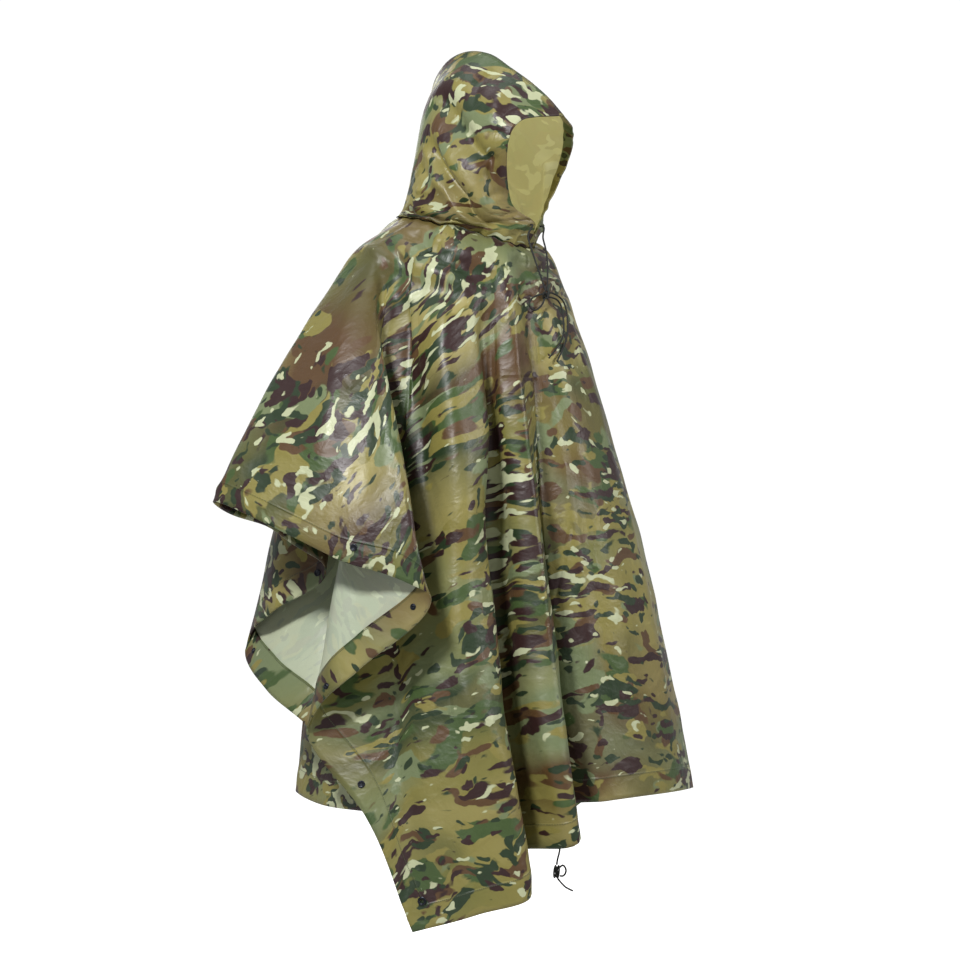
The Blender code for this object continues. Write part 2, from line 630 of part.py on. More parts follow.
def make_snaps(grid, normals):
    outside = hem_facets(grid, normals, 0)
    inside = hem_facets(grid, normals, 2 * CLOTH + GAP)
    for side, u in (("right", -HALF_WIDTH), ("left", HALF_WIDTH)):
        for half, sign in (("front", 1), ("back", -1)):
            for number, v in enumerate(SNAP_V, 1):
                place = along_edge(u, sign * v)
                name = f"{side}_{half}_{number}"
                centre, normal = hem_spot(outside, place)
                disc("snap_cap_" + name, centre + normal * GAP, normal,
                     SNAP_RADIUS, SNAP_HEIGHT, SNAP_BEVEL, "dark metal")
                centre, normal = hem_spot(inside, place)
                disc("snap_socket_" + name, centre - normal * GAP, -normal,
                     SOCKET_RADIUS, SNAP_HEIGHT, SOCKET_BEVEL, "dark metal")


def cut_hole(piece, cutter):
    hole = piece.modifiers.new(cutter.name, "BOOLEAN")
    hole.operation = "DIFFERENCE"
    hole.solver = "EXACT"
    hole.object = cutter


def make_eyelets(grid, normals, sheet, hems):
    """An eyelet through the sheet and its front or back hem at each corner."""
    low = -(2 * CLOTH + 2 * GAP)
    flange = EYELET_FLANGE
    profile = [
        (EYELET_HOLE, low - flange), (EYELET_RADIUS, low - flange), (EYELET_RADIUS, low),
        (EYELET_BARREL, low), (EYELET_BARREL, GAP), (EYELET_RADIUS, GAP),
        (EYELET_RADIUS, GAP + flange), (EYELET_HOLE, GAP + flange),
    ]
    hole = EYELET_BARREL + GAP
    cut = [(0, -EYELET_CUT), (hole, -EYELET_CUT), (hole, EYELET_CUT), (0, EYELET_CUT)]
    facets = hem_facets(grid, normals, 0)
    places = sheet_places()
    corners = [places.index(RIB_PLACE[i]) for i in np.flatnonzero(IS_CORNER)]
    spots = zip(("left_front", "right_front", "right_back", "left_back"), corners,
                (1, -1, 1, -1), ("front", "front", "back", "back"))
    for name, corner, step, hem in spots:
        beside = [facet for facet in facets
                  if facet[0].count(corner) == 2 and (corner + step) % len(places) in facet[0]]
        _, points, _, normal = beside[0]
        centre = middle(points, points)
        lathe("eyelet_" + name, centre, normal, profile, SNAP_SIDES, "dark metal")
        cutter = lathe("eyelet_hole_" + name, centre, normal, cut, SNAP_SIDES, "dark metal")
        cutter.hide_render = True
        cutter.display_type = "WIRE"
        cut_hole(sheet, cutter)
        cut_hole(hems[hem], cutter)


def cord(name, route, finish="black cord"):
    """A round cord as a tube on a smooth curve through its route."""
    count = len(route) - 1
    length = sum(math.dist(a, b) for a, b in zip(route, route[1:]))
    steps = max(8, int(length / (2.6 * CORD)))
    points = spline(route, np.linspace(0, count, steps + 1))
    curve = bpy.data.curves.new(name, "CURVE")
    curve.dimensions = "3D"
    curve.bevel_depth = CORD / 2
    curve.bevel_resolution = 2
    curve.use_fill_caps = True
    line = curve.splines.new("POLY")
    line.points.add(len(points) - 1)
    for point, place in zip(line.points, points):
        point.co = (*map(float, place), 1.0)
    return add_object(name, curve, finish)


def knot(name, centre, size):
    """A small tied knot as a rounded solid."""
    rings = []
    sides = 12
    levels = 6
    for k in range(1, levels):
        a = math.pi * k / levels
        rings.append((math.sin(a), math.cos(a)))
    points = [np.add(centre, (0, 0, size[2]))]
    for radius, height in rings:
        for j in range(sides):
            b = 2 * math.pi * j / sides
            points.append(np.add(centre, (size[0] * radius * math.cos(b),
                                          size[1] * radius * math.sin(b), size[2] * height)))
    points.append(np.add(centre, (0, 0, -size[2])))
    faces = []
    for j in range(sides):
        faces.append((0, 1 + j, 1 + (j + 1) % sides))
        end = 1 + (len(rings) - 1) * sides
        faces.append((len(points) - 1, end + (j + 1) % sides, end + j))
        for k in range(len(rings) - 1):
            a = 1 + k * sides
            faces.append((a + j, a + sides + j, a + sides + (j + 1) % sides, a + (j + 1) % sides))
    piece = add_mesh(name, points, faces, "black cord")
    face_outward(piece)
    return piece


def waist_route(grid, normals):
    """The waist cord: sewn flat on the front's inner face, then hanging free."""
    places = sheet_places()
    place = along_edge(WAIST_SEWN_U, HALF_LENGTH)
    i = min(range(len(places)), key=lambda n: abs(places[n] - place))
    j = int(np.argmin(abs(grid[i, :, 2] - WAIST_SEWN_Z)))
    a, b, c = grid[i, j], grid[i, j + 1], grid[i + 1, j + 1]
    down = (b - a) / np.linalg.norm(b - a)
    inward = -np.cross(b - a, c - a)
    inward /= np.linalg.norm(inward)
    if (inward * normals[i, j]).sum() > 0:
        inward = -inward
    start = (a * 2 + b + c) / 4 + inward * (CLOTH + GAP + CORD / 2)
    return [tuple(start), tuple(start + down * WAIST_SEWN_LENGTH)] + WAIST_CORD


clear_scene()
SHEET, GRID, NORMALS = make_sheet()
HEMS = make_hems(GRID, NORMALS)
HOOD_GRID, HOOD_NORMALS = make_hood()
make_snaps(GRID, NORMALS)
make_eyelets(GRID, NORMALS, SHEET, HEMS)
cord("hood_cord_right", casing_exit(HOOD_GRID, HOOD_NORMALS, -1) + HOOD_CORD_RIGHT)
cord("hood_cord_left", casing_exit(HOOD_GRID, HOOD_NORMALS, 1) + HOOD_CORD_LEFT)
cord("hood_cord_loop", HOOD_CORD_LOOP)
cord("hood_cord_tail_1", HOOD_CORD_TAIL_1)
cord("hood_cord_tail_2", HOOD_CORD_TAIL_2)
knot("hood_cord_knot", HOOD_KNOT, HOOD_KNOT_SIZE)
cord("waist_cord", waist_route(GRID, NORMALS))
cord("waist_cord_loop", WAIST_CORD_LOOP)
cord("waist_cord_tail", WAIST_CORD_TAIL)
knot("waist_cord_knot", WAIST_KNOT, WAIST_KNOT_SIZE)
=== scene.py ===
"""Rain poncho, worn: a printed nylon sheet with a drawcord hood, snapped under both arms.

Metres, +Z up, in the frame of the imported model.  The wearer faces -Y and their right is -X.
The flat sheet has its own places: u runs to the wearer's left and v to the front, in metres
from the middle of the neck hole.
"""
import math

import bpy
import numpy as np
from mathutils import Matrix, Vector
from mathutils.bvhtree import BVHTree


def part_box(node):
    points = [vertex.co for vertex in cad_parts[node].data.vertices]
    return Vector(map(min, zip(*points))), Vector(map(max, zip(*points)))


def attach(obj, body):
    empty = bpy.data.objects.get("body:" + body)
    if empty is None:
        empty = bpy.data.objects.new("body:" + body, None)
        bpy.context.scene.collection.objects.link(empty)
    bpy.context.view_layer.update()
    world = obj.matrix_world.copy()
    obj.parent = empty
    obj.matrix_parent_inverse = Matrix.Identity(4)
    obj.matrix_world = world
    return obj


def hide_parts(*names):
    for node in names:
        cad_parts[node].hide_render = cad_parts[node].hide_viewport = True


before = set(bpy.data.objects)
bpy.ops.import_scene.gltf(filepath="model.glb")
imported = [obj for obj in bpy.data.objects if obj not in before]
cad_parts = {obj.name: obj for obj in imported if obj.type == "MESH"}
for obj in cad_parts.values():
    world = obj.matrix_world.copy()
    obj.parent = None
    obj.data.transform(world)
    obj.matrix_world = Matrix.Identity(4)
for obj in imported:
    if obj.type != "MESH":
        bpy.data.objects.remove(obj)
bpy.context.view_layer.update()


# ---------------- camera
# A level view from the wearer's front right, five metres off, at half the poncho's height.
ACROSS = Vector((.52992, -.84805, 0))
TOWARD_CAMERA = Vector((-.84805, -.52992, 0))
CAMERA_DISTANCE = 5.0
CAMERA_HEIGHT = -.436
CAMERA_SHIFT = .0178
FRAMED_WIDTH = 1.7088
FRAMED_DISTANCE = 4.9
FILM_WIDTH = 36

view = bpy.data.cameras.new("front right view")
view.sensor_width = FILM_WIDTH
view.lens = FILM_WIDTH * FRAMED_DISTANCE / FRAMED_WIDTH
camera = bpy.data.objects.new("front right view", view)
camera.location = TOWARD_CAMERA * CAMERA_DISTANCE + ACROSS * CAMERA_SHIFT
camera.location.z = CAMERA_HEIGHT
camera.rotation_euler = (-TOWARD_CAMERA).to_track_quat("-Z", "Y").to_euler()
bpy.context.scene.collection.objects.link(camera)
bpy.context.scene.camera = camera


# ---------------- studio
# A white matt floor as far below the neck as a standing wearer's shoes, and soft light: one
# softbox high near the camera, weaker ones to the right, overhead and behind.
FLOOR_LEVEL = -1.42
FLOOR_SIDE = 60
LIT_LEVEL = -.45            # the height that the softboxes are aimed at
SOFTBOXES = [
    # name  across  toward  height  side  watts  warmth
    ("key softbox", -1.2, 2.5, 1.7, .5, 103, 1.0),
    ("right softbox", 2.7, 1.3, 1.0, 1.0, 40, .98),
    ("top softbox", -.1, -.1, 2.3, 1.2, 12, 1.0),
    ("back softbox", -.6, -2.8, .9, 1.8, 22, .98),
]


def put(tree, node, inputs):
    """Set or link a shader node's inputs."""
    for socket, value in inputs.items():
        if isinstance(value, bpy.types.NodeSocket):
            tree.links.new(value, node.inputs[socket])
        elif node.inputs[socket].type == "RGBA":
            node.inputs[socket].default_value = (*value[:3], 1)
        else:
            node.inputs[socket].default_value = value


def wire(tree, kind, inputs=None, **settings):
    """Add a shader node, set its options, and set or link its inputs."""
    made = tree.nodes.new("ShaderNode" + kind)
    for option, value in settings.items():
        setattr(made, option, value)
    put(tree, made, inputs or {})
    return made


def ranged(tree, value, start=0, end=1, low=0, high=1, **settings):
    """A value from the range start to end, carried to the range low to high."""
    inputs = {"Value": value, "From Min": start, "From Max": end, "To Min": low, "To Max": high}
    return wire(tree, "MapRange", inputs, **settings).outputs["Result"]


def new_finish(name):
    """An empty material with a Principled shader, and its node tree."""
    finish = bpy.data.materials.new(name)
    finish.use_nodes = True
    return finish, finish.node_tree, finish.node_tree.nodes["Principled BSDF"]


def place_piece(name, data):
    piece = bpy.data.objects.new(name, data)
    bpy.context.scene.collection.objects.link(piece)
    return piece


floor_mesh = bpy.data.meshes.new("studio floor")
half = FLOOR_SIDE / 2
floor_mesh.from_pydata([(-half, -half, FLOOR_LEVEL), (half, -half, FLOOR_LEVEL),
                        (half, half, FLOOR_LEVEL), (-half, half, FLOOR_LEVEL)], [], [(0, 1, 2, 3)])
floor = place_piece("studio floor", floor_mesh)
floor_paint, tree, shader = new_finish("matt white floor")
mottle = wire(tree, "TexNoise", {"Scale": 3.0, "Detail": 4.0})
looked_at = wire(tree, "LightPath").outputs["Is Camera Ray"]
put(tree, shader, {
    "Roughness": ranged(tree, mottle.outputs["Fac"], low=.80, high=.95),
    "Base Color": (.86, .86, .86), "Specular IOR Level": .1, "Emission Color": (1, 1, 1),
    "Emission Strength": ranged(tree, looked_at, low=.10)})
floor_mesh.materials.append(floor_paint)

studio = bpy.data.worlds.new("white studio")
studio.use_nodes = True
tree = studio.node_tree
tree.nodes.clear()
seen = wire(tree, "LightPath")
shine = ranged(tree, seen.outputs["Is Glossy Ray"], low=.06, high=.50)
soft_light = wire(tree, "Background", {"Color": (.96, .98, 1), "Strength": shine})
white_wall = wire(tree, "Background", {"Color": (1, 1, 1), "Strength": 1.05})
either = wire(tree, "MixShader", {0: seen.outputs["Is Camera Ray"], 1: soft_light.outputs[0],
                                  2: white_wall.outputs[0]})
wire(tree, "OutputWorld", {"Surface": either.outputs[0]})
bpy.context.scene.world = studio
bpy.context.scene.view_settings.view_transform = "Standard"

for name, across, toward, height, side, watts, warmth in SOFTBOXES:
    lamp = bpy.data.lights.new(name, "AREA")
    lamp.size = side
    lamp.energy = watts
    lamp.color = (1, warmth, warmth * warmth)
    box = place_piece(name, lamp)
    box.location = ACROSS * across + TOWARD_CAMERA * toward + Vector((0, 0, height))
    aim = Vector((0, 0, LIT_LEVEL)) - box.location
    box.rotation_euler = aim.to_track_quat("-Z", "Y").to_euler()


# ---------------- hood drawcord
# Black braided polyester cord.  It comes out of the hood's casing on both sides of the
# throat, the two ends are tied in a bow with one loop, and both tails hang free.
CORD = .0032
BRAID_SCALE = 1100 / 6
BRAID_DEPTH = .0004
CORD_STEPS = 8              # of its smooth curve for each point
HOOD_CORDS = [
    # name, real length, far end, points from its start to its end
    ("hood_cord_right", .136, "knot", [
        (-.0174, -.1368, .0195), (-.02, -.1439, .017), (-.0292, -.14, .0002),
        (-.032, -.1469, -.0199), (-.0317, -.155, -.0425), (-.0303, -.1628, -.0642),
        (-.0278, -.1706, -.0871), (-.0274, -.1755, -.1008)]),
    ("hood_cord_left", .142, "knot", [
        (.0174, -.1368, .0195), (.02, -.1439, .017), (.0202, -.1417, -.0007),
        (.0157, -.1496, -.0202), (.0085, -.157, -.0389), (.0004, -.1629, -.0585),
        (-.0083, -.1679, -.079), (-.0179, -.1732, -.091), (-.0232, -.1755, -.1008)]),
    ("hood_cord_loop", .087, "knot", [
        (-.0332, -.1753, -.1065), (-.0426, -.1734, -.1079), (-.0533, -.1656, -.1128),
        (-.0595, -.1615, -.1222), (-.0575, -.1628, -.1317), (-.0493, -.1684, -.1355),
        (-.0398, -.1741, -.1269), (-.0307, -.1754, -.1145)]),
    ("hood_cord_tail_1", .156, "bare", [
        (-.0176, -.1756, -.111), (-.0077, -.1783, -.1119), (.0046, -.181, -.1156),
        (.0123, -.1838, -.1255), (.0133, -.1873, -.1434), (.0052, -.1933, -.1653),
        (-.0084, -.1979, -.1856), (-.0287, -.1975, -.2042), (-.0456, -.1931, -.2207)]),
    ("hood_cord_tail_2", .172, "bare", [
        (-.0185, -.1761, -.103), (-.0077, -.1783, -.1036), (.0076, -.182, -.1089),
        (.0182, -.1857, -.1181), (.0226, -.1889, -.134), (.0194, -.1933, -.154),
        (.0096, -.1984, -.1742), (-.0038, -.2014, -.1935), (-.0197, -.2025, -.211),
        (-.0347, -.2031, -.2267)]),
]
HOOD_KNOT = (-.0252, -.1750, -.1085)
HOOD_KNOT_SIZE = (.0075, .0060, .0072)
KNOT_TURNS = 160
KNOT_SIDES = 12
KNOT_DEPTH = 1.6            # of the knot's path, against 3 across it


def hermite(s, start, end, slope_in, slope_out):
    return ((2 * s**3 - 3 * s**2 + 1) * start + (s**3 - 2 * s**2 + s) * slope_in
            + (-2 * s**3 + 3 * s**2) * end + (s**3 - s**2) * slope_out)


def curve_through(values, samples):
    """A smooth curve through rows of values, read at fractional row numbers."""
    values = np.asarray(values, float)
    samples = np.asarray(samples, float)
    padded = np.concatenate([[2 * values[0] - values[1]], values, [2 * values[-1] - values[-2]]])
    k = np.clip(samples.astype(int), 0, len(values) - 2)
    s = (samples - k).reshape((-1,) + (1,) * (values.ndim - 1))
    before, start, end, after = padded[k], padded[k + 1], padded[k + 2], padded[k + 3]
    return hermite(s, start, end, (end - before) / 2, (after - start) / 2)


def hand_over(piece, node):
    """Hang the piece on the root body and hide the node that it replaces."""
    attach(piece, "root")
    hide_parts(node)
    return piece


def braided_cord(name, points):
    """A round cord on a smooth curve through its points."""
    route = curve_through(points, np.linspace(0, len(points) - 1, CORD_STEPS * len(points)))
    line = bpy.data.curves.new(name, "CURVE")
    line.dimensions = "3D"
    line.bevel_depth = CORD / 2
    line.bevel_resolution = 4
    line.use_fill_caps = True
    run = line.splines.new("POLY")
    run.points.add(len(route) - 1)
    for point, at in zip(run.points, route):
        point.co = (*map(float, at), 1)
    line.materials.append(cord_finish)
    return hand_over(place_piece(name + "_braid", line), name)


def unit(vectors):
    return vectors / np.maximum(np.linalg.norm(vectors, axis=-1), 1e-12)[..., None]


def grid_faces(n, m, wrap_n=True, wrap_m=True):
    """Four-sided faces over n rows of m points, which may close on themselves."""
    i, j = np.meshgrid(np.arange(n if wrap_n else n - 1), np.arange(m if wrap_m else m - 1),
                       indexing="ij")
    k, l = (i + 1) % n, (j + 1) % m
    return np.stack([i * m + j, i * m + l, k * m + l, k * m + j], -1).reshape(-1, 4)


def smooth_mesh(name, points, faces, finishes):
    """A smoothly shaded mesh with these finishes."""
    mesh = bpy.data.meshes.new(name)
    mesh.from_pydata(np.reshape(points, (-1, 3)).tolist(), [], faces)
    mesh.shade_smooth()
    for finish in finishes:
        mesh.materials.append(finish)
    return mesh


def tied_knot(name, centre, size):
    """A cord pulled tight in an overhand knot, as a tube round a three-lobed path."""
    turn = np.linspace(0, 2 * np.pi, KNOT_TURNS, endpoint=False)
    path = np.stack([np.sin(turn) + 2 * np.sin(2 * turn), np.cos(turn) - 2 * np.cos(2 * turn),
                     -KNOT_DEPTH * np.sin(3 * turn)], 1)
    path *= (np.array(size) - CORD / 2) / np.abs(path).max(0)
    ahead = unit(np.roll(path, -1, 0) - np.roll(path, 1, 0))
    side = unit(np.cross(ahead, path))
    up = np.cross(ahead, side)
    angle = np.linspace(0, 2 * np.pi, KNOT_SIDES, endpoint=False)[None, :, None]
    ring = side[:, None] * np.cos(angle) + up[:, None] * np.sin(angle)
    points = path[:, None] + ring * CORD / 2 + np.array(centre)
    faces = grid_faces(KNOT_TURNS, KNOT_SIDES).tolist()
    mesh = smooth_mesh(name, points, faces, [cord_finish])
    return hand_over(place_piece(name + "_tied", mesh), name)


def tinted(tree, share, first, second, **settings):
    """The second colour over the first, by this share."""
    inputs = {"Fac": share, "Color1": first, "Color2": second}
    return wire(tree, "MixRGB", inputs, **settings).outputs[0]


def maths(tree, operation, *values):
    return wire(tree, "Math", dict(enumerate(values)), operation=operation).outputs[0]


def hang_cords(cords, knot):
    """Build each cord.  The knot is not used."""
    for name, length, far_end, points in cords:
        braided_cord(name, points)


# Two crossing sets of fine ridges stand for the plaits of the braid.
cord_finish, tree, shader = new_finish("black braided cord")
at = wire(tree, "TexCoord").outputs["Object"]
leaning = wire(tree, "Mapping", {"Vector": at, "Rotation": (0, 0, 1.57)}).outputs[0]
plaits = maths(tree, "MULTIPLY", *[
    wire(tree, "TexWave", {"Vector": way, "Scale": BRAID_SCALE, "Distortion": 1.2, "Detail": 1.0},
         bands_direction="DIAGONAL").outputs["Fac"] for way in (at, leaning)])
relief = wire(tree, "Bump", {"Height": plaits, "Strength": .5, "Distance": BRAID_DEPTH})
# The base colour follows the same ridges: painted shade in the grooves between the plaits, lighter on
# their crowns.
put(tree, shader, {
    "Base Color": tinted(tree, plaits, (.011, .012, .011), (.030, .033, .030)),
    "Normal": relief.outputs[0], "Roughness": .62, "Specular IOR Level": .35})

hang_cords(HOOD_CORDS, tied_knot("hood_cord_knot", HOOD_KNOT, HOOD_KNOT_SIZE))


# ---------------- waist drawcord
# The same cord, sewn flat inside the front at the waist.  It hangs below the hem and ends in
# a knot with a short tail.
WAIST_CORDS = [
    # name, real length, far end, points from its start to its end
    ("waist_cord", .438, "knot", [
        (-.0825, -.2206, -.6702), (-.0845, -.2247, -.6998), (-.0842, -.2351, -.7601),
        (-.0877, -.2408, -.8601), (-.091, -.245, -.9601), (-.0931, -.2454, -1.0399),
        (-.0951, -.2441, -1.0781), (-.0975, -.2411, -1.0954), (-.0988, -.2401, -1.1053)]),
    ("waist_cord_loop", .035, "knot", [
        (-.0954, -.2442, -1.1098), (-.0938, -.249, -1.1062), (-.092, -.2528, -1.1095),
        (-.0911, -.2543, -1.1154), (-.092, -.2528, -1.1213), (-.0937, -.2492, -1.1248),
        (-.0953, -.2444, -1.1247)]),
    ("waist_cord_tail", .035, "bare", [
        (-.0974, -.241, -1.1291), (-.0946, -.2467, -1.1367), (-.0901, -.2521, -1.1438),
        (-.0866, -.2577, -1.1477), (-.082, -.2631, -1.151)]),
]
WAIST_KNOT = (-.0989, -.2399, -1.1173)
WAIST_KNOT_SIZE = (.0065, .0065, .0115)

hang_cords(WAIST_CORDS, tied_knot("waist_cord_knot", WAIST_KNOT, WAIST_KNOT_SIZE))


# ---------------- the sheet
# One wide sheet of coated nylon with a round neck hole, printed outside and pale grey-green
# inside.  It hangs from the shoulders in folds, and the snaps pull its side edges in below
# the arms, so each side edge runs over a wing, turns back, and goes down to the corner.
HALF_WIDTH = .71
HALF_LENGTH = 1.11
CLOTH = .0012
GAP = .0003
HEM_WIDTH = .042
STITCHED_IN = .003
NECK_RADIUS = .115
NECK_LEVEL = .005
NECK_TILT = .025
FLAT_NECK = .12
FLAT_SHOULDER = .24
FOLD_ROUNDING = 1.2
NECK_SPREAD = .25
NECK_DIP = .25
SHOULDER_RUN = 1.3
SHOULDER_OUT = .5
SHOULDER_DOWN = .85
SHOWN_STEP = .0118          # between lines of the mesh on the front and right
FAR_STEP = .0225            # and on the back and left
SHEET_ROWS = 89
ROW_SPREAD = .15            # the rows lie closer together at the neck
HEM_ROWS = 6

# One row for each fold ridge or trough in order along the cut edge.  u, v: where it meets the
# cut edge.  az_s, r_s, z_s: where it leaves the shoulders, as degrees round the neck from the
# wearer's front toward their right, radius and height.  az_e, r_e, z_e: where it reaches the
# edge.  belly: how far it swells outward half way down.
FOLDS = [
    # name  u  v  az_s  r_s  z_s  az_e  r_e  z_e  belly
    ("left front corner", .71, 1.11, -72, .2, -.1, -98, .36, -1.12, .01),
    ("left front 2", .6, 1.11, -62, .19, -.105, -86, .385, -1.05, .02),
    ("left front 1", .42, 1.11, -48, .185, -.105, -58, .4, -1.02, .02),
    ("front left", .24, 1.11, -30, .178, -.107, -32, .406, -.994, .018),
    ("front middle", .06, 1.11, -10, .172, -.11, -6, .385, -.985, .02),
    ("front right", -.075, 1.11, 8, .172, -.11, 15, .345, -.99, .01),
    ("trough 1", -.17, 1.11, 22, .165, -.11, 25, .285, -1.005, -.01),
    ("pleat 1", -.27, 1.11, 35, .18, -.11, 30, .392, -1.05, .012),
    ("trough 2", -.385, 1.11, 46, .172, -.11, 47, .31, -1.08, -.01),
    ("pleat 2", -.47, 1.11, 56, .185, -.108, 43, .41, -1.128, .01),
    ("corner panel", -.585, 1.11, 72, .195, -.1, 56, .43, -1.158, .03),
    ("right front corner", -.71, 1.11, 86, .195, -.09, 71, .422, -1.19, .01),
    ("front edge", -.71, .86, 92, .195, -.082, 83, .415, -1.0, -.01),
    ("inner fold", -.71, .69, 97, .195, -.075, 97, .435, -.862, 0),
    ("turned edge low", -.71, .61, 100, .198, -.07, 92, .445, -.812, .012),
    ("turned edge", -.71, .49, 103, .203, -.062, 83, .43, -.752, .012),
    ("wing front fold", -.71, .35, 109, .218, -.055, 67, .425, -.647, .05),
    ("wing middle", -.71, .12, 118, .23, -.05, 87, .45, -.57, .045),
    ("wing back fold", -.71, -.12, 129, .24, -.052, 119, .5, -.483, .01),
    ("under wing", -.71, -.24, 134, .23, -.055, 112, .41, -.555, 0),
    ("under wing fold", -.71, -.36, 138, .222, -.055, 104, .345, -.6, -.01),
    ("back face", -.71, -.465, 141, .217, -.055, 118, .4, -.665, .02),
    ("back edge fold", -.71, -.57, 144, .213, -.055, 131, .415, -.729, 0),
    ("back edge", -.71, -.69, 147, .21, -.055, 117, .412, -.8, -.03),
    ("back join", -.71, -.82, 150, .205, -.055, 101, .412, -.852, -.055),
    ("right back corner", -.71, -1.11, 153, .2, -.055, 86, .365, -1.0, -.05),
    ("back right 1", -.58, -1.11, 156, .196, -.052, 108, .338, -1.0, -.02),
    ("back right 2", -.44, -1.11, 160, .192, -.05, 130, .329, -.988, 0),
    ("back trough 1", -.3, -1.11, 166, .185, -.05, 150, .27, -1.0, 0),
    ("back pleat 1", -.16, -1.11, 173, .188, -.05, 165, .335, -1.01, .02),
    ("back trough 2", 0, -1.11, 182, .182, -.05, 183, .3, -1.01, 0),
    ("back pleat 2", .15, -1.11, 192, .19, -.05, 202, .385, -1.02, .02),
    ("back trough 3", .28, -1.11, 201, .185, -.05, 216, .31, -1.03, 0),
    ("back pleat 3", .42, -1.11, 210, .192, -.052, 231, .4, -1.05, .02),
    ("back trough 4", .56, -1.11, 218, .19, -.054, 243, .31, -1.07, 0),
    ("left back corner", .71, -1.11, 225, .195, -.058, 256, .33, -1.07, -.04),
    ("left back join", .71, -.82, 229, .2, -.058, 254, .345, -.875, -.03),
    ("left back edge", .71, -.69, 233, .205, -.058, 243, .362, -.83, -.01),
    ("left back fold", .71, -.57, 237, .21, -.058, 232, .385, -.76, 0),
    ("left back face", .71, -.465, 241, .214, -.058, 243, .365, -.705, .02),
    ("left under fold", .71, -.36, 245, .22, -.058, 256, .312, -.65, 0),
    ("left under wing", .71, -.24, 249, .228, -.058, 249, .36, -.605, 0),
    ("left wing back", .71, -.1, 254, .236, -.058, 240, .42, -.555, .005),
    ("left wing middle", .71, .12, 262, .236, -.062, 270, .42, -.585, .035),
    ("left wing front", .71, .35, 269, .226, -.068, 292, .385, -.665, .02),
    ("left turned edge", .71, .5, 273, .218, -.074, 276, .388, -.755, .01),
    ("left inner fold", .71, .66, 277, .21, -.08, 262, .4, -.85, 0),
    ("left front edge", .71, .86, 282, .203, -.09, 258, .365, -.975, -.01),
]

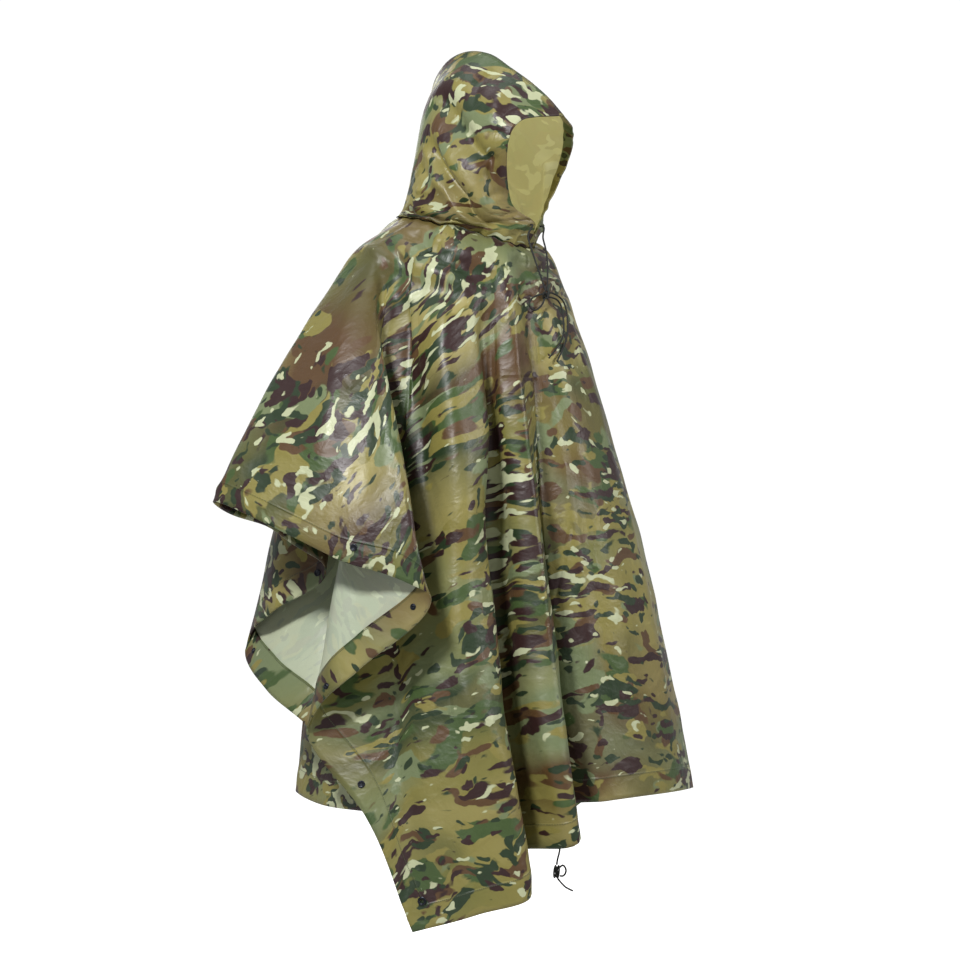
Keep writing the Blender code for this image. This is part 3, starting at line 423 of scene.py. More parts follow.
# Creases and soft ridges, each along a path of flat places.  width is half the breadth of the
# ridge or trough, and height is how far it stands out or sinks in.
CREASES = [
    # width  height  flat places
    # front: the valley and its left bank, then the ridges and hollows beside it
    (.034, -.042, [(-.24, .38), (-.28, .54), (-.307, .66), (-.34, .8), (-.362, 1.11)]),
    (.034, -.015, [(-.31, .42), (-.355, .6), (-.395, .78), (-.43, 1.08)]),
    (.016, .017, [(-.175, .22), (-.205, .42), (-.232, .6), (-.268, .78), (-.285, 1.1)]),
    (.014, -.01, [(-.14, .3), (-.165, .46), (-.19, .62), (-.222, .8), (-.238, 1.1)]),
    # beside the pleat, a soft pleat, and the hollow behind the wing
    (.02, -.012, [(-.2, .17), (-.215, .3), (-.235, .45)]),
    (.022, .011, [(-.225, .06), (-.269, .18), (-.323, .374), (-.37, .57)]),
    (.013, -.012, [(-.25, 0), (-.3, .13), (-.372, .36), (-.42, .54)]),
    # middle of the front
    (.016, .01, [(-.12, .2), (-.112, .5), (-.12, 1.09)]),
    (.024, -.009, [(-.06, .24), (-.03, .6), (-.045, 1.09)]),
    (.02, .005, [(.05, .22), (.09, .6), (.1, 1.05)]),
    # the panel at the right front corner, and its gathers
    (.028, .0085, [(-.42, .6), (-.56, .78), (-.63, 1.02)]),
    (.026, -.0085, [(-.44, .56), (-.5, .8), (-.53, 1.08)]),
    (.018, .0045, [(-.47, .7), (-.45, .9), (-.44, 1.1)]),
    (.008, .0028, [(-.7, 1.06), (-.63, .99)]),
    (.009, -.0028, [(-.655, 1.1), (-.6, 1.03)]),
    (.008, .0024, [(-.6, 1.1), (-.57, 1.04)]),
    # right wing, and its gathers at the snap
    (.026, .009, [(-.22, -.09), (-.4, -.03), (-.6, .04)]),
    (.022, -.009, [(-.23, -.04), (-.42, .04), (-.62, .13)]),
    (.02, -.005, [(-.3, -.11), (-.48, -.07), (-.64, -.03)]),
    (.02, .005, [(-.4, .1), (-.52, .17), (-.66, .24)]),
    (.008, .0035, [(-.7, -.095), (-.61, -.05)]),
    (.008, -.003, [(-.7, -.065), (-.62, -.01)]),
    (.008, .003, [(-.7, -.03), (-.645, .03)]),
    # folds round the neck: right, front, left, back
    (.01, -.0125, [(-.15, -.06), (-.182, .06), (-.163, .145)]),
    (.013, .01, [(-.193, -.05), (-.207, .04), (-.19, .13)]),
    (.009, .008, [(-.15, -.01), (-.16, .05), (-.128, .15)]),
    (.012, -.01, [(-.235, -.07), (-.24, .03), (-.22, .14)]),
    (.011, .007, [(-.17, -.11), (-.225, -.05), (-.26, .04)]),
    (.009, -.0085, [(-.1, .145), (-.01, .185), (.08, .165)]),
    (.01, .0075, [(-.12, .175), (-.02, .215), (.1, .19)]),
    (.009, -.007, [(-.13, .21), (-.05, .25), (.04, .245)]),
    (.009, -.007, [(.145, -.07), (.18, .05), (.16, .15)]),
    (.012, .006, [(.19, -.06), (.208, .03), (.19, .14)]),
    (.011, -.0055, [(.24, -.05), (.235, .05), (.21, .16)]),
    (.009, -.0055, [(-.1, -.15), (0, -.18), (.09, -.16)]),
    (.011, .005, [(-.09, -.2), (.02, -.225), (.12, -.195)]),
    # left wing, and its gathers at the snap
    (.024, .006, [(.22, -.07), (.4, -.02), (.62, .06)]),
    (.022, -.006, [(.24, -.02), (.43, .06), (.64, .14)]),
    (.008, .0032, [(.7, -.08), (.61, -.04)]),
    (.008, -.003, [(.7, -.04), (.63, .01)]),
    # left front
    (.02, .0065, [(.2, .2), (.28, .45), (.3, .8), (.31, 1.1)]),
    (.024, -.007, [(.27, .16), (.36, .5), (.38, .85), (.36, 1.1)]),
    (.028, .0055, [(.4, .5), (.55, .8), (.62, 1.04)]),
    # back
    (.018, .006, [(-.12, -.22), (-.15, -.6), (-.16, -1.1)]),
    (.022, -.008, [(-.04, -.24), (-.01, -.6), (0, -1.1)]),
    (.018, .006, [(.08, -.24), (.13, -.6), (.15, -1.1)]),
    (.02, -.007, [(.19, -.22), (.25, -.6), (.28, -1.1)]),
    (.02, -.007, [(-.2, -.22), (-.27, -.6), (-.3, -1.1)]),
    (.026, .005, [(-.34, -.3), (-.5, -.66), (-.6, -1.0)]),
    (.026, .005, [(.34, -.3), (.5, -.66), (.6, -1.0)]),
]
# Sharp thin lines left from the folded packing, raised a hair: from flat place to flat place.
PACKING_LINES = [
    (-.488, .739, -.5, .777), (-.5, .777, -.464, .794), (-.407, -.017, -.427, .012),
    (-.427, .012, -.407, .016), (-.183, .328, -.085, .377), (-.07, .305, -.082, .414),
    (-.179, .225, -.196, .313), (-.065, .645, -.105, .756), (-.071, .838, -.075, .871),
    (.12, -.42, .105, -.53), (-.21, -.64, -.12, -.655), (.3, -.78, .296, -.86),
    (.26, .52, .345, .5), (.43, .3, .415, .39),
]
# Where the side hem hangs a little higher or lower than the folds carry it.
HEM_HANGS = [
    # name  middle of it  its reach  lower by
    ("rear of the wing", (-.71, -.228), (.16, .062), -.028),
    ("tip of the fold", (-.71, .265), (.12, .06), .014),
]
CREASE_EDGE = 1.8           # how steeply a crease's sides stand
CREASE_FADE = 7             # how fast it rises from its ends
CREASE_ENDS = .06           # share of its height that its ends keep
NOISE_CELLS = 64            # of the noise before it repeats
RIPPLE = .0026              # unevenness of the hanging cloth
RIPPLE_SIZE = .11
RIPPLE_DETAIL = .6          # share of the ripples of half the size
RIPPLE_START = .10          # it is whole this far from the neck
NECK_WAVE = .0045           # puckers of the neck seam, in and out and up and down
NECK_WAVE_REACH = .030
NECK_WAVES = 8              # lumps of unevenness for each radian round the neck
NECK_RISE = .021            # the seam is drawn up a little by the hood, but not at the throat
NECK_RISE_REACH = .045
NECK_RISE_EDGE = 1.3
THROAT_WIDTH = .9           # radians round the neck
GATHER = .0050              # puckers where the sheet is eased onto the neck seam
GATHER_START = .02
GATHER_REACH = .055
GATHERS = 9                 # for each radian round the neck
HEM_PUCKER = .0012
HEM_PUCKER_REACH = .05
HEM_PUCKER_SIZE = .028


def around(azimuth, radius, height):
    """Points at these bearings from the front toward the wearer's right, round the middle."""
    a = np.radians(azimuth)
    return np.stack([-radius * np.sin(a), -radius * np.cos(a), height + 0 * a], -1)


def neck_point(azimuth):
    return around(azimuth, NECK_RADIUS, NECK_LEVEL - NECK_TILT * np.cos(np.radians(azimuth)))


PERIMETER = 4 * (HALF_WIDTH + HALF_LENGTH)


def along_edge(u, v):
    """Distance along the cut edge from the left front corner."""
    if v == HALF_LENGTH:
        return HALF_WIDTH - u
    if u == -HALF_WIDTH:
        return 2 * HALF_WIDTH + HALF_LENGTH - v
    if v == -HALF_LENGTH:
        return 3 * HALF_WIDTH + 2 * HALF_LENGTH + u
    return 4 * HALF_WIDTH + 3 * HALF_LENGTH + v


FOLD = np.array([row[1:] for row in FOLDS], float)
FOLD_EDGE = FOLD[:, :2]
FOLD_PLACE = np.array([along_edge(u, v) for u, v in FOLD_EDGE])
FOLD_SHOULDER = around(FOLD[:, 2], FOLD[:, 3], FOLD[:, 4])
FOLD_END = around(FOLD[:, 5], FOLD[:, 6], FOLD[:, 7])
FOLD_BELLY = FOLD[:, 8]
AT_CORNER = (np.abs(FOLD_EDGE) == (HALF_WIDTH, HALF_LENGTH)).all(1)
FLAT_ANGLE = np.degrees(np.arctan2(-FOLD_EDGE[:, 0], FOLD_EDGE[:, 1]))
FAN = (FLAT_ANGLE - FOLD[:, 2] + 180) % 360 - 180
NECK_ANGLE = FOLD[:, 2] + NECK_SPREAD * FAN
FOLD_NECK = neck_point(NECK_ANGLE)
FOLD_FLAT_NECK = around(NECK_ANGLE, FLAT_NECK, 0)[:, :2] * (1, -1)
FOLD_FLAT_SHOULDER = around(FOLD[:, 2], FLAT_SHOULDER, 0)[:, :2] * (1, -1)
ON_SHOULDERS = np.linalg.norm(FOLD_FLAT_SHOULDER - FOLD_FLAT_NECK, axis=1)
BELOW_SHOULDERS = np.linalg.norm(FOLD_EDGE - FOLD_FLAT_SHOULDER, axis=1)
SHOULDER_SHARE = ON_SHOULDERS / (ON_SHOULDERS + BELOW_SHOULDERS)


def down_the_folds(t):
    """Every fold line's worn point, and its flat place, at share t from neck to edge."""
    t = np.asarray(t, float)[:, None]
    fall = np.clip((t - SHOULDER_SHARE) / (1 - SHOULDER_SHARE), 0, 1)[..., None]
    rise = np.clip(t / SHOULDER_SHARE, 0, 1)[..., None]
    outward = unit(FOLD_END * (1, 1, 0))
    hanging = (FOLD_SHOULDER + (FOLD_END - FOLD_SHOULDER) * fall
               + outward * (4 * fall * (1 - fall) * FOLD_BELLY[:, None]))
    leave_neck = FOLD_NECK * (1, 1, 0) / NECK_RADIUS - (0, 0, NECK_DIP)
    reach = np.linalg.norm(FOLD_SHOULDER - FOLD_NECK, axis=1)[:, None]
    leave_shoulder = outward * SHOULDER_OUT - (0, 0, SHOULDER_DOWN)
    shoulder = hermite(rise, FOLD_NECK, FOLD_SHOULDER, leave_neck * reach * SHOULDER_RUN,
                       leave_shoulder * reach)
    flat_shoulder = FOLD_FLAT_NECK + (FOLD_FLAT_SHOULDER - FOLD_FLAT_NECK) * rise
    flat_hanging = FOLD_FLAT_SHOULDER + (FOLD_EDGE - FOLD_FLAT_SHOULDER) * fall
    near_neck = (t < SHOULDER_SHARE)[..., None]
    return np.where(near_neck, shoulder, hanging), np.where(near_neck, flat_shoulder, flat_hanging)


def rounded(slope, before, after):
    """Open out a bend where the cloth doubles back on itself."""
    size = np.linalg.norm(before, axis=-1) * np.linalg.norm(after, axis=-1)
    doubling = np.clip(-(before * after).sum(-1) / np.maximum(size, 1e-9), 0, 1)
    return slope * (1 + FOLD_ROUNDING * doubling)[..., None]


def between_folds(values, place, sharpness):
    """Smooth closed curve through the folds' values, sharp at the sheet's own corners."""
    place = place % PERIMETER
    k = int(np.searchsorted(FOLD_PLACE, place, side="right")) - 1
    rounds, ids = np.divmod(np.arange(k - 1, k + 3), len(FOLD_PLACE))
    marks = FOLD_PLACE[ids] + PERIMETER * rounds
    before, start, end, after = (values[:, i] for i in ids)
    h0, h1, h2 = np.diff(marks)
    d0, d1, d2 = (start - before) / h0, (end - start) / h1, (after - end) / h2
    slope_in = rounded((d0 * h1 + d1 * h0) / (h0 + h1), d0, d1)
    slope_out = rounded((d1 * h2 + d2 * h1) / (h1 + h2), d1, d2)
    if AT_CORNER[ids[1]]:
        slope_in = slope_in + (d1 - slope_in) * sharpness
    if AT_CORNER[ids[2]]:
        slope_out = slope_out + (d1 - slope_out) * sharpness
    return hermite((place - marks[1]) / h1, start, end, slope_in * h1, slope_out * h1)


def line_of_cloth(place, t):
    """Worn points and flat places down one line from neck to edge."""
    worn, flat = down_the_folds(t)
    sharpness = (np.asarray(t) ** 2)[:, None]
    return between_folds(worn, place, sharpness), between_folds(flat, place, 1.0)


def hem_share(place):
    """Share of the way from neck to edge at which a line crosses the hem's inner line."""
    half_way, edge = np.abs(line_of_cloth(place, [.5, 1])[1])
    share = 1.0
    for c, limit in ((0, HALF_WIDTH - HEM_WIDTH), (1, HALF_LENGTH - HEM_WIDTH)):
        if edge[c] > limit:
            share = min(share, .5 + .5 * (limit - half_way[c]) / (edge[c] - half_way[c]))
    return share


def line_places():
    """Places of the mesh's lines along the cut edge, and which of them are corners."""
    places = []
    corners = []
    for i, start in enumerate(FOLD_PLACE):
        end = FOLD_PLACE[(i + 1) % len(FOLD_PLACE)]
        end = end if end > start else end + PERIMETER
        shown = (start + end) / 2 < 2 * HALF_WIDTH + 2 * HALF_LENGTH
        steps = max(4, round((end - start) / (SHOWN_STEP if shown else FAR_STEP)))
        if AT_CORNER[i]:
            corners.append(len(places))
        places += [start + (end - start) * n / steps for n in range(steps)]
    return places, corners


def grid_normals(grid, closed):
    """Unit normals of a grid of points whose rows may close on themselves."""
    across = np.roll(grid, -1, 0) - np.roll(grid, 1, 0)
    if not closed:
        across[0] = grid[1] - grid[0]
        across[-1] = grid[-1] - grid[-2]
    return unit(np.cross(across, np.gradient(grid, axis=1)))


def uneven(x, y, size, seed):
    """Smooth unevenness between -1 and 1 over a plane, in lumps of about this size."""
    numbers = np.random.default_rng(seed).uniform(-1, 1, (NOISE_CELLS, NOISE_CELLS))
    x, y = x / size, y / size
    i, j = np.floor(x).astype(int), np.floor(y).astype(int)
    p, q = x - i, y - j
    p, q = p * p * (3 - 2 * p), q * q * (3 - 2 * q)
    i, j, k, l = (cell % NOISE_CELLS for cell in (i, j, i + 1, j + 1))
    low = numbers[i, j] * (1 - p) + numbers[k, j] * p
    high = numbers[i, l] * (1 - p) + numbers[k, l] * p
    return low * (1 - q) + high * q


def pressed(flat, creases):
    """How far the creases lift or sink each flat place."""
    lift = np.zeros(flat.shape[:-1])
    for width, height, path in creases:
        path = np.array(path)
        lengths = np.linalg.norm(np.diff(path, axis=0), axis=1)
        nearest = np.full(flat.shape[:-1], 1.0)
        share = np.zeros(flat.shape[:-1])
        for k, length in enumerate(lengths):
            run = path[k + 1] - path[k]
            s = np.clip(((flat - path[k]) * run).sum(-1) / length**2, 0, 1)
            away = np.linalg.norm(flat - path[k] - s[..., None] * run, axis=-1)
            share = np.where(away < nearest, (lengths[:k].sum() + s * length) / lengths.sum(), share)
            nearest = np.minimum(nearest, away)
        # a crease fades out towards both of its ends
        taper = np.clip(CREASE_FADE * share * (1 - share) + CREASE_ENDS, 0, 1)
        lift += height * taper * np.exp(-(nearest / width) ** CREASE_EDGE)
    return lift


def neck_wave(points, from_seam):
    """Points near the neck seam, moved in and out and up and down by its puckers."""
    from_seam = np.maximum(from_seam, 0)
    bearing = np.arctan2(points[..., 0], points[..., 1])
    run = bearing * NECK_WAVES + 40
    close = np.exp(-from_seam / NECK_WAVE_REACH)
    out = NECK_WAVE * close * uneven(run, bearing * 0 + 2.3, 1.0, 5)
    up = NECK_WAVE * close * uneven(run, bearing * 0 + 5.7, 1.0, 6)
    behind_throat = 1 - np.exp(-((np.pi - np.abs(bearing)) / THROAT_WIDTH) ** 2)
    up += NECK_RISE * behind_throat * np.exp(-(from_seam / NECK_RISE_REACH) ** NECK_RISE_EDGE)
    radial = unit(points * (1, 1, 0))
    return points + radial * out[..., None] + np.stack([0 * up, 0 * up, up], -1)


def sheet_relief(flat):
    """Ripples, neck gathers, hem puckers and pressed creases of the sheet."""
    u, v = flat[..., 0], flat[..., 1]
    from_neck = np.hypot(u, v) - FLAT_NECK
    angle = np.arctan2(u, v)
    free = np.clip(from_neck / RIPPLE_START, 0, 1)
    lift = RIPPLE * free * (uneven(u + 2, v + 2, RIPPLE_SIZE, 1)
                            + RIPPLE_DETAIL * uneven(u + 2, v + 2, RIPPLE_SIZE / 2, 2))
    near = np.clip(from_neck / GATHER_START, 0, 1) * np.exp(-from_neck / GATHER_REACH)
    lift += GATHER * near * uneven(angle * GATHERS + 40, from_neck * 6 + 3, 1.0, 3)
    to_side, to_end = HALF_WIDTH - np.abs(u), HALF_LENGTH - np.abs(v)
    to_edge = np.minimum(to_side, to_end)
    edge_run = np.where(to_side < to_end, v, u)
    lift += (HEM_PUCKER * np.exp(-(to_edge / HEM_PUCKER_REACH) ** 2)
             * uneven(edge_run + 3, to_edge, HEM_PUCKER_SIZE, 4))
    return lift + pressed(flat, CREASES)


def two_layers(name, outer, inner, closed, places, stitches, finishes):
    """A closed cloth wall between two grids.  Its first finish is the outer face's, its second
    the inner face's.  Flat places and stitch places go along for the finishes to read."""
    n, m = outer.shape[:2]
    back = n * m
    front = grid_faces(n, m, closed, False)
    at = np.arange(back).reshape(n, m)
    if closed:
        borders = [np.append(at[:, 0], at[0, 0]), np.append(at[::-1, -1], at[-1, -1])]
    else:
        borders = [np.concatenate([at[:, 0], at[-1, 1:], at[-2::-1, -1], at[0, -2::-1]])]
    rims = [(a, b, b + back, a + back)
            for border in borders for a, b in zip(border.tolist(), border[1:].tolist())]
    mesh = smooth_mesh(name, np.stack([outer, inner]),
                       front.tolist() + (front[:, ::-1] + back).tolist() + rims, finishes)
    slots = np.zeros(len(mesh.polygons), np.int32)
    slots[len(front):2 * len(front)] = 1
    mesh.polygons.foreach_set("material_index", slots if len(finishes) > 1 else slots * 0)
    for title, values in (("flat_place", places), ("stitch_place", stitches)):
        layer = mesh.attributes.new(title, "FLOAT_VECTOR", "POINT")
        both = np.concatenate([values.reshape(-1, 2)] * 2)
        layer.data.foreach_set("vector", np.c_[both, np.zeros(len(both))].ravel())
    mesh.update()
    return place_piece(name, mesh)


LINES, CORNER_LINES = line_places()
worn_lines = []
flat_lines = []
for place in LINES:
    hem = hem_share(place)
    x = np.linspace(0, 1, SHEET_ROWS)
    spread = (1 - ROW_SPREAD) * x + ROW_SPREAD * x**2
    share = np.concatenate([hem * spread, np.linspace(hem, 1, HEM_ROWS + 1)[1:]])
    worn, flat = line_of_cloth(place, share)
    worn_lines.append(worn)
    flat_lines.append(flat)
SHEET_FLAT = np.array(flat_lines)
smooth = neck_wave(np.array(worn_lines), np.linalg.norm(SHEET_FLAT, axis=-1) - FLAT_NECK)
for _, middle, reach, lower in HEM_HANGS:
    smooth[..., 2] -= lower * np.exp(-(((SHEET_FLAT - middle) / reach) ** 2).sum(-1))
facing = grid_normals(smooth, True)
if (facing[0, 2] * smooth[0, 2] * (1, 1, 0)).sum() < 0:
    facing = -facing
SHEET_OUTER = smooth + facing * sheet_relief(SHEET_FLAT)[..., None]
turned = grid_normals(SHEET_OUTER, True)
SHEET_FACING = turned * np.sign((turned * facing).sum(-1))[..., None]


def stitch_places(flat):
    """Distance in from the hem's stitch line, and distance along it."""
    u, v = np.abs(flat[..., 0]), np.abs(flat[..., 1])
    side = HALF_WIDTH - HEM_WIDTH + STITCHED_IN - u
    end = HALF_LENGTH - HEM_WIDTH + STITCHED_IN - v
    along = np.where(side < end, flat[..., 1], flat[..., 0])
    return np.stack([np.minimum(side, end), along], -1)


# The print: soft airbrushed ground of tan, olive and brown, with hard-edged patches over it.
# All its motifs are noise drawn out along the width of the cloth.
PRINT_COLOURS = {
    # name: red, green, blue as light reflected
    "olive tan": (.235, .205, .055),
    "moss":       (.108, .128, .029),
    "pale tan":   (.335, .29, .105),
    "grey green": (.17, .208, .1),
    "mid green": (.053, .089, .025),
    "dark green": (.018, .035, .013),
    "brown":      (.092, .048, .018),
    "maroon":     (.028, .01, .009),
    "cream":      (.49, .52, .32),
}
PRINT_WAVES = [(7.0, .07), (32.0, .016), (80.0, .006)]     # scale, distance in metres
WEAVE_SCALE = 900.0
CRINKLE_SCALES = (13.0, 38.0)
STITCHES_A_METRE = 280.0
STITCH_SHARE = .65          # of each stitch that shows, before it goes under
THREAD = .001
SEAM_GROOVE = .003
PACKING_LINE_WIDTH = .005
PACKING_LINE_HEIGHT = .5
BENT_SHARE = 1.4            # of sharp crinkles beside soft ones
PRINT_LAYERS = [
    # ink  size  stretch  threshold  edge  part of the noise  lumps  clustered
    ("moss", 2.6, 1.5, .56, .12, 1.7, 1.0, 0),
    ("brown", 2.4, 1.5, .525, .08, 12.4, 1.0, 0),
    ("grey green", 3.0, 1.5, .585, .07, 13.9, 1.0, 0),
    ("dark green", 2.8, 1.5, .615, .08, 51.3, 1.0, 0),
    ("pale tan", 3.2, 1.6, .59, .09, 5.3, 1.0, 0),
    ("grey green", 9.0, 1.9, .622, .01, 15.9, .9, .3),
    ("mid green", 11.0, 1.8, .606, .01, 21.3, 1.0, .5),
    ("olive tan", 13.5, 1.9, .62, .01, 71.7, .9, .3),
    ("brown", 13.5, 1.9, .62, .01, 27.9, .9, .4),
    ("dark green", 18.0, 1.8, .626, .01, 33.7, 1.0, .5),
    ("maroon", 14.5, 2.4, .618, .01, 41.9, 1.5, .5),
    ("maroon", 30.0, 1.7, .668, .012, 81.1, .6, .6),
    ("dark green", 36.0, 1.6, .688, .014, 47.7, .4, .5),
    ("cream", 28.0, 2.0, .668, .012, 61.1, 1.0, .6),
]


def new_group(name, inputs, outputs):
    """An empty node group with these sockets, and what its input node gives."""
    group = bpy.data.node_groups.new(name, "ShaderNodeTree")
    for direction, sockets in (("INPUT", inputs), ("OUTPUT", outputs)):
        for title, kind in sockets:
            group.interface.new_socket(title, in_out=direction, socket_type=kind)
    return group, group.nodes.new("NodeGroupInput").outputs


def noise(tree, place, scale, detail, **more):
    """Grey noise of this scale over a place."""
    inputs = {"Vector": place, "Scale": scale, "Detail": detail, **more}
    return wire(tree, "TexNoise", inputs).outputs["Fac"]


def vectors(tree, operation, *values, **more):
    return wire(tree, "VectorMath", {**dict(enumerate(values)), **more}, operation=operation).outputs


def moved_by_noise(tree, place, scale, distance):
    """The place, moved about by noise of this scale."""
    wander = wire(tree, "TexNoise", {"Vector": place, "Scale": scale, "Detail": 2.0})
    shift = vectors(tree, "SUBTRACT", wander.outputs["Color"], (.5, .5, .5))[0]
    shift = vectors(tree, "SCALE", shift, Scale=distance)[0]
    return vectors(tree, "ADD", place, shift)[0]


tree, given = new_group("printed camouflage", [("Place", "NodeSocketVector")],
                        [("Color", "NodeSocketColor")])
wavy = given["Place"]
for scale, distance in PRINT_WAVES:
    wavy = moved_by_noise(tree, wavy, scale, distance)
crowding = noise(tree, wavy, 5.0, 1.0)
ground = PRINT_COLOURS["olive tan"]
for ink, size, stretch, threshold, edge, part, lumpiness, clustered in PRINT_LAYERS:
    there = vectors(tree, "MULTIPLY_ADD", wavy, (1, stretch, 1), (part, part * .7, part * .3))
    lumps = noise(tree, there[0], size, lumpiness, Roughness=.5)
    crowded = maths(tree, "MULTIPLY_ADD", crowding, clustered, lumps)
    edge_at = threshold + clustered / 2
    mask = ranged(tree, crowded, edge_at - edge, edge_at + edge)
    ground = tinted(tree, mask, ground, PRINT_COLOURS[ink])
put(tree, tree.nodes.new("NodeGroupOutput"), {"Color": ground})
print_group = tree

# The cloth's own surface: fine plain weave, soft crinkles left by folding, and stitched lines.
tree, given = new_group(
    "nylon surface", [("Place", "NodeSocketVector"), ("Stitch", "NodeSocketVector")],
    [(title, "NodeSocketFloat") for title in ("Weave", "Crinkle", "Seam", "Thread")])
large = noise(tree, given["Place"], CRINKLE_SCALES[0], 3.0, Roughness=.55, Distortion=.6)
bent = maths(tree, "ABSOLUTE", maths(tree, "SUBTRACT", large, .5))
fine = noise(tree, given["Place"], CRINKLE_SCALES[1], 3.0, Roughness=.5, Distortion=.4)
crinkle = maths(tree, "MULTIPLY_ADD", bent, BENT_SHARE, fine)
for u0, v0, u1, v1 in PACKING_LINES:
    length = math.hypot(u1 - u0, v1 - v0)
    ahead = ((u1 - u0) / length, (v1 - v0) / length, 0)
    off = vectors(tree, "SUBTRACT", given["Place"], (u0, v0, 0))[0]
    along = vectors(tree, "DOT_PRODUCT", off, ahead)["Value"]
    held = wire(tree, "Clamp", {"Value": along, "Min": 0, "Max": length}).outputs[0]
    foot = vectors(tree, "SCALE", ahead, Scale=held)[0]
    away = vectors(tree, "DISTANCE", off, foot)["Value"]
    line = ranged(tree, away, 0, PACKING_LINE_WIDTH, PACKING_LINE_HEIGHT, 0)
    crinkle = maths(tree, "ADD", crinkle, line)
parts = wire(tree, "SeparateXYZ", {0: given["Stitch"]}).outputs
near = maths(tree, "ABSOLUTE", parts["X"])
dash = maths(tree, "FRACT", maths(tree, "MULTIPLY", parts["Y"], STITCHES_A_METRE))
thread = maths(tree, "MULTIPLY", maths(tree, "LESS_THAN", dash, STITCH_SHARE),
               maths(tree, "LESS_THAN", near, THREAD / 2))
put(tree, tree.nodes.new("NodeGroupOutput"), {
    "Weave": noise(tree, given["Place"], WEAVE_SCALE, 2.0), "Crinkle": crinkle,
    "Seam": ranged(tree, near, 0, SEAM_GROOVE, interpolation_type="SMOOTHSTEP"),
    "Thread": thread})
weave_group = tree


def cloth_relief(tree, surface, weave, crinkle, seam):
    """A normal from the crinkles, the stitched lines and the weave, each with its depth."""
    below = {}
    for title, depth in (("Crinkle", crinkle), ("Seam", seam), ("Weave", weave)):
        bump = wire(tree, "Bump", {"Height": surface.outputs[title], "Distance": depth, **below})
        below = {"Normal": bump.outputs[0]}
    return bump.outputs[0]


def cloth_inputs(tree):
    """The cloth's surface and its print, each as a group node that reads the flat places."""
    place = wire(tree, "Attribute", attribute_name="flat_place").outputs["Vector"]
    stitch = wire(tree, "Attribute", attribute_name="stitch_place").outputs["Vector"]
    surface = wire(tree, "Group", node_tree=weave_group)
    design = wire(tree, "Group", node_tree=print_group)
    put(tree, surface, {"Place": place, "Stitch": stitch})
    put(tree, design, {"Place": place})
    return surface, design.outputs["Color"]


printed_face, tree, shader = new_finish("printed nylon")
surface, design = cloth_inputs(tree)
put(tree, shader, {
    "Base Color": tinted(tree, surface.outputs["Thread"], design, (.060, .075, .035)),
    "Roughness": ranged(tree, surface.outputs["Crinkle"], .3, .9, .36, .52),
    "Normal": cloth_relief(tree, surface, weave=.00004, crinkle=.0026, seam=.0008),
    "Specular IOR Level": .42, "Sheen Weight": .04, "Sheen Roughness": .4})

coated_face, tree, shader = new_finish("pale coated inner face")
surface, design = cloth_inputs(tree)
through = tinted(tree, .32, (.600, .665, .505), design)
# Fine speckle: the weave's grain, and partly a painted sparkle of the coating's sheen.
grain_and_sparkle = tinted(tree, surface.outputs["Weave"], (.80, .80, .80), (1.15, 1.15, 1.15))
put(tree, shader, {
    "Base Color": tinted(tree, 1.0, through, grain_and_sparkle, blend_type="MULTIPLY"),
    "Normal": cloth_relief(tree, surface, weave=.00006, crinkle=.0014, seam=.0007),
    "Roughness": .42, "Specular IOR Level": .6})

sheet_inner = SHEET_OUTER - SHEET_FACING * CLOTH
poncho = two_layers("poncho_cloth", SHEET_OUTER, sheet_inner, True, SHEET_FLAT,
                    stitch_places(SHEET_FLAT), [printed_face, coated_face])
hand_over(poncho, "poncho_sheet")


# ---------------- hems
# The cut edges are turned in once and stitched, so a strip of the printed face shows inside.
# Each of the four strips lies on the sheet's inner face.
HEM_STRIPS = {
    "front": (CORNER_LINES[0], CORNER_LINES[1]),
    "right": (CORNER_LINES[1] + 2, CORNER_LINES[2] - 1),
    "back": (CORNER_LINES[2], CORNER_LINES[3]),
    "left": (CORNER_LINES[3] + 1, len(LINES) - 1),
}


def folded_over(flat):
    """Where the print of a turned-in hem comes from: past the fold, as in a mirror."""
    u, v = flat[..., 0], flat[..., 1]
    side = HALF_WIDTH - np.abs(u) < HALF_LENGTH - np.abs(v)
    past_u = np.where(side, np.sign(u) * (2 * HALF_WIDTH - np.abs(u)), u)
    past_v = np.where(side, v, np.sign(v) * (2 * HALF_LENGTH - np.abs(v)))
    return np.stack([past_u, past_v], -1)


for name, (start, end) in HEM_STRIPS.items():
    band = slice(start, end + 1)
    skin = SHEET_OUTER[band, SHEET_ROWS - 1:]
    inward = SHEET_FACING[band, SHEET_ROWS - 1:]
    flat = SHEET_FLAT[band, SHEET_ROWS - 1:]
    above = skin - inward * (CLOTH + GAP)
    hem = two_layers("hem_fold_" + name, above, above - inward * CLOTH, False, folded_over(flat),
                     stitch_places(flat), [printed_face])
    hand_over(hem, "hem_" + name)


# ---------------- hood
# Two mirrored panels of the same cloth, seamed over the crown and down the back and sewn to
# the neck edge.  Its front edge is turned in as a casing that gathers on the drawcord.
RIM_FOLD = .025
HOOD_STEP = .050
HOOD_LIP = .0010
HOOD_COLUMNS = 96
RIM_COLUMNS = 7
HOOD_ROWS = 110
HOOD_FLAT = (.34, .40)      # front edge to back seam, and crown seam to neck seam
HOOD_STITCH = .004          # in from the seams
CASING_STITCH = .02361      # in from the front edge
HOOD_RIPPLE = .0018
HOOD_RIPPLE_SIZE = .07
HOOD_RIPPLE_DETAIL = .7
HELD_AT_SIDES = .10         # shares of the cloth that the seams hold flat
HELD_AT_CROWN = .08
HELD_AT_NECK = .05
RIM_GATHER = .0016          # puckers that the drawcord makes, and how far they reach, as shares
RIM_GATHER_REACH = .16
RIM_GATHERS = (3, 30)       # back from the edge, and down along it
NECK_GATHER = .0024         # and those of the neck seam
NECK_GATHER_REACH = .12
NECK_GATHERS = (22, 5)
